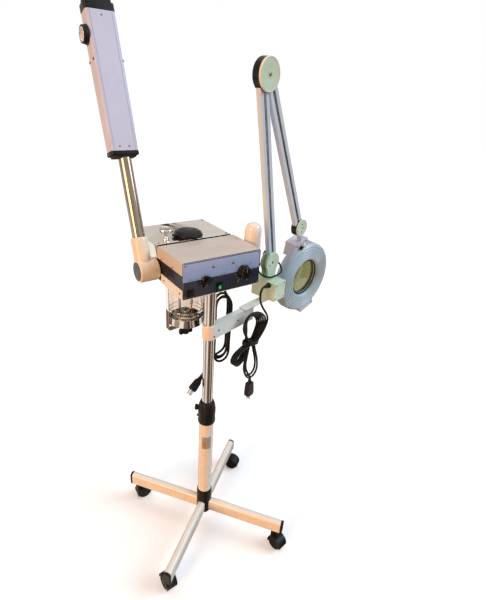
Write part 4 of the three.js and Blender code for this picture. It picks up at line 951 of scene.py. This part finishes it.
def panel_marks():
    """Scale ticks, figures and rows of dashes in place of words, a hair proud of the panel."""
    front = joint_at("timer_knob_turn").y
    low, high = in_post(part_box("front_panel"))
    middle = (low.z + high.z) / 2

    def tick(x, z, angle, r0, r1, wide):
        c, s = cos(angle), sin(angle)
        nx, nz = -s * wide / 2, c * wide / 2
        a, b = (x + c * r0, z + s * r0), (x + c * r1, z + s * r1)
        paint = 0 if (a[1] + b[1]) / 2 < middle else 1
        prism([(a[0] - nx, a[1] - nz), (b[0] - nx, b[1] - nz), (b[0] + nx, b[1] + nz), (a[0] + nx, a[1] + nz)],
              "Y", front - 0.12, front + 0.1, paint)

    timer, steam = joint_at("timer_knob_turn"), joint_at("steam_knob_turn")
    for k in range(13):
        tick(timer.x, timer.z, radians(240 - 25 * k), 22.5, 26 if k % 2 else 27.5, 0.7)
    for k in range(10):
        tick(steam.x, steam.z, radians(225 - 30 * k), 15.5, 18.5 if k % 3 else 20, 0.7)
    pitch, dash = 3.6, 2.4
    for x, z, long, rows in ((-33, 1104, 11, 1), (30, 1104, 13, 1), (-86, 1073.5, 40, 2), (0, 1073.5, 26, 2),
                             (96, 1108, 14, 1)):
        for row in range(rows):
            for k in range(max(2, int(long / pitch))):
                if (k * 7 + row * 3 + x) % 5 == 0:
                    continue
                u, v = x - long / 2 + k * pitch, z - 3.2 * row
                prism([(u, v), (u + dash, v), (u + dash, v + 0.9), (u, v + 0.9)], "Y", front - 0.12,
                      front + 0.1, 1)
    piece("panel_marks", "carriage", [MARK, MARK_DARK])
    for k, figure in enumerate(("0", "20", "40", "60")):
        angle = radians(240 - 100 * k)
        x, z = timer.x + 31 * cos(angle), timer.z + 31 * sin(angle)
        curve = bpy.data.curves.new("figure_" + figure, "FONT")
        curve.body = figure
        curve.size = 5.5 * MM
        curve.extrude = 0.05 * MM
        curve.align_x, curve.align_y = "CENTER", "CENTER"
        curve.materials.append(MARK if z < middle else MARK_DARK)
        o = linked(bpy.data.objects.new("figure_" + figure, curve))
        o.rotation_euler = (pi / 2, 0, 0)
        o.location = POST @ Vector((x, front - 0.1, z))
        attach(o, "carriage")
    for x in (-33, 30):
        lathe([(0, 0), (3.1, 0), (3.1, 0.8), (2.2, 1.4), (2.2, 2), (1.2, 2.9), (0, 3.1)],
              (x, front + 0.1, 1097), -Y, 32)
    piece("indicator_lamps", "carriage", LENS_RED)
    for x in (-117, 117):
        for z in (1024, 1113):
            screw((x, front, z), -Y, 2.2, height=1.0)
    piece("panel_screws", "carriage", SCREW)


def knobs():
    at = joint_at("timer_knob_turn")
    lathe([(0, 0.3), (20.6, 0.3), (21, 0.8), (21, 2.4), (20.4, 3.2), (18.6, 3.8), (18.4, 5), (18, 17),
           (17.3, 19), (15.8, 20.1), (12.6, 20.3), (12, 19.5), (0, 19.3)], at, -Y, 144,
          lobes=(24, 1.0, 4.5, 19.2))
    rod(3, -2.5, 1, at, -Y, 16)
    piece("timer_dial", "timer_knob_body", GLOSS, "timer_knob")
    prism([(at.x - 1, at.z + 4), (at.x + 1, at.z + 4), (at.x + 1, at.z + 14.6), (at.x - 1, at.z + 14.6)], "Y",
          at.y - 20.32, at.y - 19.2)
    piece("timer_pointer", "timer_knob_body", POINTER)
    at = joint_at("steam_knob_turn")
    lathe([(0, 0.3), (12.6, 0.3), (13, 0.8), (13, 3.6), (12.2, 5.2), (10.8, 6.8), (0, 7.3)], at, -Y, 96,
          lobes=(30, 0.5, 0.9, 3.5))
    rod(3, -2.5, 1, at, -Y, 16)
    a, b = Vector((at.x + 10, 0, at.z + 9)), Vector((at.x - 13, 0, at.z - 12))
    way = (b - a).normalized()
    nose = across(a, b, 9)
    nose = [nose[0], nose[1], ((b + way * 2).x, (b + way * 2).z), nose[2], nose[3]]
    prism(nose, "Y", at.y - 20.2, at.y - 6)
    piece("steam_dial", "steam_knob_body", GLOSS, "steam_knob", edge=1.2, segments=3)
    mark = across(Vector((at.x - 5, 0, at.z - 4.6)), Vector((at.x - 13, 0, at.z - 12)), 1.3)
    prism(mark, "Y", at.y - 20.34, at.y - 19.8)
    piece("steam_pointer", "steam_knob_body", POINTER)


# The side face of the box and of the housing, and the top and the back of the housing.
BOX_SIDE, HOUSING_TOP, HOUSING_BACK = 123.4, 1121.4, 256.9


def control_box():
    dress("control_chassis", CHASSIS, 0.6)
    dress("upper_cover", COVER, 0.9)
    dress("lower_tray", TRAY, 0.4)
    face_at = (POST @ Vector((0, joint_at("timer_knob_turn").y, 0))).y
    dress("front_panel", [PANEL, BLACK], 0.35, lambda c: 1 if c.y < face_at - 0.0002 else 0)
    dress("switch_rocker", LIT, 0.7)
    low, high = in_post(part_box("switch_rocker"))
    middle = (low + high) / 2
    prism(rounded(middle.x, middle.z + 1, 5.5, 9, 2.2), "Y", low.y + 1.2, middle.y)
    piece("rocker_window", "rocker_body", LIT_WINDOW, edge=0.3, segments=1)
    low, high = in_post(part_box("front_panel"))
    face_y = joint_at("timer_knob_turn").y
    brick(low.x + 1.2, high.x, face_y - 0.25, face_y + 0.3, high.z - 1.5, high.z)
    brick(high.x - 2.2, high.x, face_y - 0.25, face_y + 0.3, low.z + 2, high.z - 1.5)
    piece("panel_edge", "carriage", BLACK, edge=0.1, segments=1)
    knobs()
    panel_marks()
    for side in (-1, 1):
        for y, z in ((-3, 1090), (62, 1090), (-44, 1031), (48, 1031)):
            screw((side * BOX_SIDE, y, z), X * side, 3.0)
    piece("box_side_screws", "carriage", SCREW)
    for k in range(7):
        y = -6 + 9 * k
        for side in (-1, 1):
            prism(rounded(y, 1065, 3.0, 20, 1.4, 4), "X", *sorted((side * 121.4, side * 122.0)))
    piece("chassis_ribs", "carriage", BLACK, edge=0.2, segments=1)
    lathe([(0, 1030), (20.5, 1030), (23.6, 1031.6), (25, 1035), (25, 1042), (24.4, 1043), (24.4, 1045),
           (25, 1046), (25, 1140), (24.6, 1147), (23.2, 1154), (20.4, 1160.2), (16, 1164.8), (10, 1167.3),
           (0, 1168)], (160, 28, 0), Z, 96)
    prism(rounded(28, 1070, 28, 40, 5), "X", 123.8, 150)
    piece("side_handle", "carriage", GRIP, "side_grip")


# ---------------------------------------------------------------- boiler and jar
def boiler():
    dress("rear_housing", STEEL, 1.0)
    for x in (-112, 112):
        for y in (100, 246):
            screw((x, y, HOUSING_TOP), Z, 3.2, height=1.4)
    for side in (-1, 1):
        for y in (104, 174, 244):
            screw((side * BOX_SIDE, y, 1032), X * side, 3.0)
    for x in (-100, 0, 100):
        for z in (1034, 1108):
            screw((x, HOUSING_BACK, z), Y, 3.0)
    piece("housing_screws", "carriage", SCREW)
    cap = joint_at("filler_cap_turn")
    z = cap.z + 0.3
    lathe([(0, 0), (41, 0), (42.6, 0.8), (43.4, 2), (43.4, 7), (42, 8.8), (38.6, 9.2), (37, 9.6), (35, 13),
           (33, 14.2), (0, 14.2)], (cap.x, cap.y, z), Z, 144, lobes=(8, 3.2, 0, 9))
    lathe([(0, 0), (30, 0), (28.5, 0.9), (0, 0.9)], (cap.x, cap.y, z + 14), Z, 64)
    prism(rounded(cap.x, cap.y, 50, 9, 4), "Z", z + 13, z + 15)
    brick(cap.x - 50, cap.x - 38, cap.y - 7, cap.y + 7, z + 2, z + 9)
    piece("filler_lid", "filler_cap_body", BLACK, "filler_cap", edge=0.9, angle=50)
    low, high = in_post(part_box("relief_valve"))
    centre = (low + high) / 2
    foot = cap.z + 7.3
    lathe([(0, -13), (3.5, -13), (3.5, 0), (6, 0), (6, 2), (4.6, 3.4), (4, 5), (4, 7.4), (5.6, 9.6), (9, 13),
           (14, 15.8), (18.6, 18), (20.4, 20), (21, 22), (20.9, 26.6), (20, 28), (18.4, 28.5), (17, 28),
           (16, 26.9), (0, 26.6)], (centre.x, centre.y, foot), Z, 96)
    piece("relief_weight", "relief_valve_body", CHROME, "relief_valve")
    jar_at = joint_at("jar_screw_turn")
    x, y = jar_at.x, jar_at.y
    low, high = in_post(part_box("glass_jar"))
    z0, z1, r = low.z, high.z, (high.x - low.x) / 2
    outer = [(0, z0), (r - 8, z0), (r - 3.6, z0 + 1), (r - 1, z0 + 3.6), (r, z0 + 8)]
    for k in range(4):
        h = z0 + 14 + 11 * k
        outer += [(r, h), (r - 1.0, h + 1.4), (r - 1.0, h + 2.8), (r, h + 4.2)]
    outer += [(r, z1 - 16), (r - 0.8, z1 - 14), (r - 0.8, z1 - 11), (r, z1 - 9), (r, z1)]
    inner = [(r - 4, z1), (r - 4, z0 + 12), (r - 5.4, z0 + 7), (r - 9, z0 + 4.6), (0, z0 + 4)]
    lathe(outer + inner, (x, y, 0), Z, 96)
    piece("water_jar", "carriage", GLASS, "glass_jar", angle=50)
    lathe([(0, z0 - 4.3), (55, z0 - 4.3), (58.4, z0 - 3.6), (60, z0 - 1.6), (60, z0 + 23.6), (60.3, z0 + 24.6),
           (60, z0 + 25.7), (58.9, z0 + 25.7), (58.5, z0 + 23.4), (58.5, z0 - 0.3), (0, z0 - 0.3)], (x, y, 0),
          Z, 96)
    piece("jar_cup", "carriage", CHROME, "jar_dish")
    dress("jar_stirrup", STEEL, 0.6)
    lathe([(0, 770), (9.6, 770), (11, 771.4), (11, 789.6), (9.8, 791), (5, 791), (5, z0 - 4.9), (0, z0 - 4.9)],
          (x, y, 0), Z, 48)
    wing = [(-24, 776), (-22.6, 772), (-20, 770), (-12, 771), (12, 771), (20, 770), (22.6, 772), (24, 776),
            (23.4, 786), (21, 790), (16, 789.4), (9, 787), (-9, 787), (-16, 789.4), (-21, 790), (-23.4, 786)]
    prism([(x + a, b) for a, b in wing], "Y", y - 5, y + 5)
    piece("jar_wing_screw", "jar_screw_body", BLACK, "jar_screw", edge=1.3, segments=3)
    top = 1021.7
    points = [(-22, top), (-22, 985), (-22, 940), (-22, 900), (-21.2, 880), (-16, 865), (-8, 857.6), (0, 856),
              (8, 857.6), (16, 865), (21.2, 880), (22, 900), (22, 940), (22, 985), (22, top)]
    lead("heating_element", [(x + a, y, b) for a, b in points], 4.0, "carriage", BRASS, ("heater",))
    for a in (-22, 22):
        lathe([(4, 1010), (8.5, 1010), (9, 1011), (9, 1016), (4, 1016)], (x + a, y, 0), Z, 6, closed=True)
    lathe([(0, 1017), (46, 1017), (47, 1018), (47, 1021.6), (0, 1021.6)], (x, y, 0), Z, 64)
    piece("element_flange", "carriage", BRIGHT, edge=0.3)


# ---------------------------------------------------------------- steam arm
def steam_side():
    dress("elbow_base", ELBOW_PLASTIC, 1.0)
    lathe([(0, -23.3), (31.4, -23.3), (32, -22.6), (32, 17.6), (31.2, 20.4), (29.4, 22), (26.4, 22.2),
           (0, 22.2)], (0, 0, 0), -X, 128)
    piece("steam_elbow_drum", "steam_arm", ELBOW_PLASTIC, "steam_elbow")
    lathe([(0, 0), (23, 0), (23, 86), (22.4, 90), (21, 92), (17.5, 92), (17.5, 60), (0, 60)], (0, 0, 0), Z,
          96)
    piece("steam_elbow_socket", "steam_arm", ELBOW_PLASTIC)
    lathe([(0, 21.6), (26.4, 21.6), (26.4, 22.4), (25.6, 23.3), (0, 23.5)], (0, 0, 0), -X, 96)
    piece("steam_elbow_cap", "steam_arm", GLOSS)
    lathe([(17.2, 60.3), (17.2, 311.7), (15.2, 311.7), (15.2, 60.3)], (0, 0, 0), Z, 96, closed=True)
    piece("steam_tube", "steam_arm", ARM_CHROME, "arm_tube")

    # the head from its foot to its crown along the tube, its middle across, and its size
    start, end = 318.0, 653.0
    mid, wide, deep = -2, 76, 44
    low, high = mid - wide / 2, mid + wide / 2
    outline = []
    base = rounded(mid, 0, wide, deep, 8, 8)
    # grooves along both broad faces, near each edge
    for p, q in zip(base, base[1:] + base[:1]):
        outline.append(p)
        if abs(p[1] - q[1]) < 1e-6 and abs(p[0] - q[0]) > 40:
            s = 1 if p[1] > 0 else -1
            marks = (-29, -27.6, 27.6, 29) if q[0] > p[0] else (29, 27.6, -27.6, -29)
            for a, b in ((marks[0], marks[1]), (marks[2], marks[3])):
                slope = (b - a) * 0.1
                outline += [(mid + a, p[1]), (mid + a + slope, p[1] - 0.9 * s),
                            (mid + b - slope, p[1] - 0.9 * s), (mid + b, p[1])]
    prism(outline, "Z", start + 0.3, end - 0.3)
    piece("steam_head_body", "steam_head", LILAC, "head_extrusion", angle=28)
    prism(rounded(mid, 0, wide + 1, deep + 1, 8.5, 8), "Z", end, end + 19)
    prism(rounded(mid, 0, wide - 7, deep - 7, 8, 8), "Z", end + 18, end + 29)
    prism(rounded(mid, 0, 40, 20, 6, 8), "Z", end + 28, end + 29.4)
    piece("steam_head_crown", "steam_head", BLACK, "head_top_cap", edge=2.6, segments=4)
    prism(rounded(mid, 0, wide + 1, deep + 1, 8.5, 8), "Z", start - 10, start)
    prism(rounded(mid, 0, 62, 40, 8, 8), "Z", start - 15, start - 9)
    piece("steam_head_foot", "steam_head", BLACK, "head_bottom_cap", edge=1.8, segments=3)
    nozzle_at = joint_at("nozzle_turn", STEAM)
    lathe([(0, -12), (15.4, -12), (15.4, 0.3), (22.4, 0.3), (23, 0.9), (23, 3.4), (22.2, 4.4), (21.2, 5),
           (21, 6), (21.4, 7), (20.6, 12), (20, 13), (17.6, 13), (16.6, 12.2)], nozzle_at, -X, 96, 0)
    lathe([(16.6, 12.2), (15.9, 13.2), (13.9, 13.2), (13.4, 12.2)], nozzle_at, -X, 96, 1)
    lathe([(13.4, 12.2), (11.2, 9), (10, 3), (4.5, 2.6), (4, 1.4), (0, 1.4)], nozzle_at, -X, 96, 2)
    piece("steam_nozzle", "nozzle_body", [BLACK, BRIGHT, WHITE_CUP], "nozzle")
    for y in (-15, 15):
        screw((low, y, 540), -X, 3.6, height=1.8)
        screw((high, y, 540), X, 3.6, height=1.8)
    for x, z in ((10, 329), (-15, 329), (mid, 641)):
        for side in (-1, 1):
            screw((x, side * deep / 2, z), Y * side, 2.3, height=1.2)
    piece("steam_head_screws", "steam_head", SCREW)


build((POST, rolling_base), (POST, post), (BRACKET, bracket), (ARM, lamp_yoke), (ARM, lamp_arms),
      (ARM, lamp_neck), (HEAD, lamp_head), (POST, control_box), (POST, boiler), (STEAM, steam_side))


# ---------------------------------------------------------------- studio
SKY, WHITE = (0.93, 0.96, 1.0, 1), (1, 1, 1, 1)
PALE, BOARDS = (0.92, 0.935, 0.95), (0.32, 0.22, 0.15)


def plain_material(name, color, rough):
    m = bpy.data.materials.new(name)
    settled(Graph(m).nodes["Principled BSDF"], Base_Color=(*color, 1), Roughness=rough)
    return m


def floor_finish():
    """Matt white floor, a little lighter to the eye than its own lighting, that bounces light like old
    boards."""
    m = plain_material("floor", PALE, 0.7)
    graph = Graph(m)
    bsdf = settled(graph.nodes["Principled BSDF"], Emission_Color=WHITE)
    bounced = graph.add("LightPath").outputs["Is Diffuse Ray"]
    graph.join(graph.mixed(bounced, PALE, BOARDS), bsdf.inputs["Base Color"])
    lift = graph.add("MapRange", To_Min=0.24, To_Max=0.0)
    graph.join(bounced, lift.inputs["Value"])
    graph.join(lift.outputs[0], bsdf.inputs["Emission Strength"])
    m.cycles.emission_sampling = "NONE"
    return m


def prop(name, material, at):
    """Studio piece from the draft, in metres."""
    mesh = bpy.data.meshes.new(name)
    Draft.bm.to_mesh(mesh)
    Draft.bm.clear()
    mesh.materials.append(material)
    o = linked(bpy.data.objects.new(name, mesh))
    o.location = at
    return o


def reflected(name, material, at):
    """Studio piece that is seen in reflections only."""
    o = prop(name, material, at)
    o.visible_camera = o.visible_diffuse = o.visible_shadow = o.visible_transmission = False
    return o


def grid(size):
    bmesh.ops.create_grid(Draft.bm, x_segments=1, y_segments=1, size=size)


def backdrop():
    """White to the eye, dim sky blue as a light, and a warm room in reflections."""
    world = bpy.context.scene.world or bpy.data.worlds.new("world")
    bpy.context.scene.world = world
    graph = Graph(world)
    ray = graph.add("LightPath")
    shader = settled(graph.nodes["Background"], Color=SKY, Strength=0.24).outputs[0]
    for kind, color, strength in (("Is Glossy Ray", (1.0, 0.96, 0.91, 1), 0.78),
                                  ("Is Camera Ray", WHITE, 1.0)):
        other = graph.add("Background", Color=color, Strength=strength)
        mix = graph.add("MixShader")
        graph.join(ray.outputs[kind], mix.inputs[0])
        graph.join(shader, mix.inputs[1])
        graph.join(other.outputs[0], mix.inputs[2])
        shader = mix.outputs[0]
    graph.join(shader, graph.nodes["World Output"].inputs["Surface"])


def soft_light(name, way, power, color, spread):
    data = bpy.data.lights.new(name, "SUN")
    data.energy = power
    data.color = color
    data.angle = radians(spread)
    o = linked(bpy.data.objects.new(name, data))
    o.rotation_euler = (-Vector(way)).to_track_quat("-Z", "Y").to_euler()


def reflections():
    """Strips of old floor fanned round the base and cards of a dark room, for the streaks in the polished
    metal."""
    brown = mat("reflected_brown", (0.24, 0.14, 0.075), 0.8, vary=0.5, scale=1.3)
    tan = mat("reflected_tan", (0.56, 0.42, 0.29), 0.8, vary=0.3, scale=1.3)
    dark = mat("reflected_dark", (0.035, 0.024, 0.018), 0.8, vary=0.4, scale=1.3)
    # degrees round the post, from the way it looks at the camera
    to_camera = 237.9
    fan = ((-180, -134, brown), (-80, -44, tan), (-14, 16, brown), (16, 36, dark), (36, 58, tan),
           (62, 96, dark), (132, 180, brown))
    inner, outer, steps = 0.02, 6.0, 8
    for k, (start, end, finish) in enumerate(fan):
        rays = [radians(to_camera + start + (end - start) * i / steps) for i in range(steps + 1)]
        rim = [[Draft.bm.verts.new((r * cos(a), r * sin(a), 0)) for a in rays] for r in (inner, outer)]
        for i in range(steps):
            face([rim[0][i], rim[1][i], rim[1][i + 1], rim[0][i + 1]])
        reflected(f"reflected_floor_{k}", finish, (post_at.x, post_at.y, 0.0005))
    card = plain_material("card", (0.075, 0.045, 0.026), 0.9)
    cards = (("card_left", (-2.2, -1.6, 0.9), 0.5, 2.6, 0), ("card_right", (2.0, -0.6, 0.9), 0.5, 2.6, 0),
             ("card_back", (1.07, 2.53, 2.02), 2.4, 0.09, 9), ("card_far", (1.00, 2.60, 1.90), 2.4, 0.03, 9),
             ("card_front", (0.35, -2.6, 0.5), 0.5, 2.4, 0))
    for name, at, wide, tall, roll in cards:
        grid(0.5)
        o = reflected(name, card, at)
        o.scale = (wide, tall, 1)
        turn = (Vector((0, 0, at[2])) - Vector(at)).to_track_quat("Z", "Y")
        o.rotation_euler = (turn @ Quaternion((0, 0, 1), radians(roll))).to_euler()


grid(14)
floor = prop("floor", floor_finish(), (0, 0, -0.0005))
backdrop()
soft_light("warm_left", (-0.95, -0.30, 0.30), 2.9, (1.0, 0.52, 0.24), 30)
soft_light("cool_front", (0.82, -0.52, 0.72), 2.1, (0.82, 0.91, 1.0), 40)
soft_light("overhead", (0.0, 0.25, 1.0), 0.75, (1.0, 0.96, 0.92), 50)
bpy.context.scene.view_settings.view_transform = "Standard"
reflections()
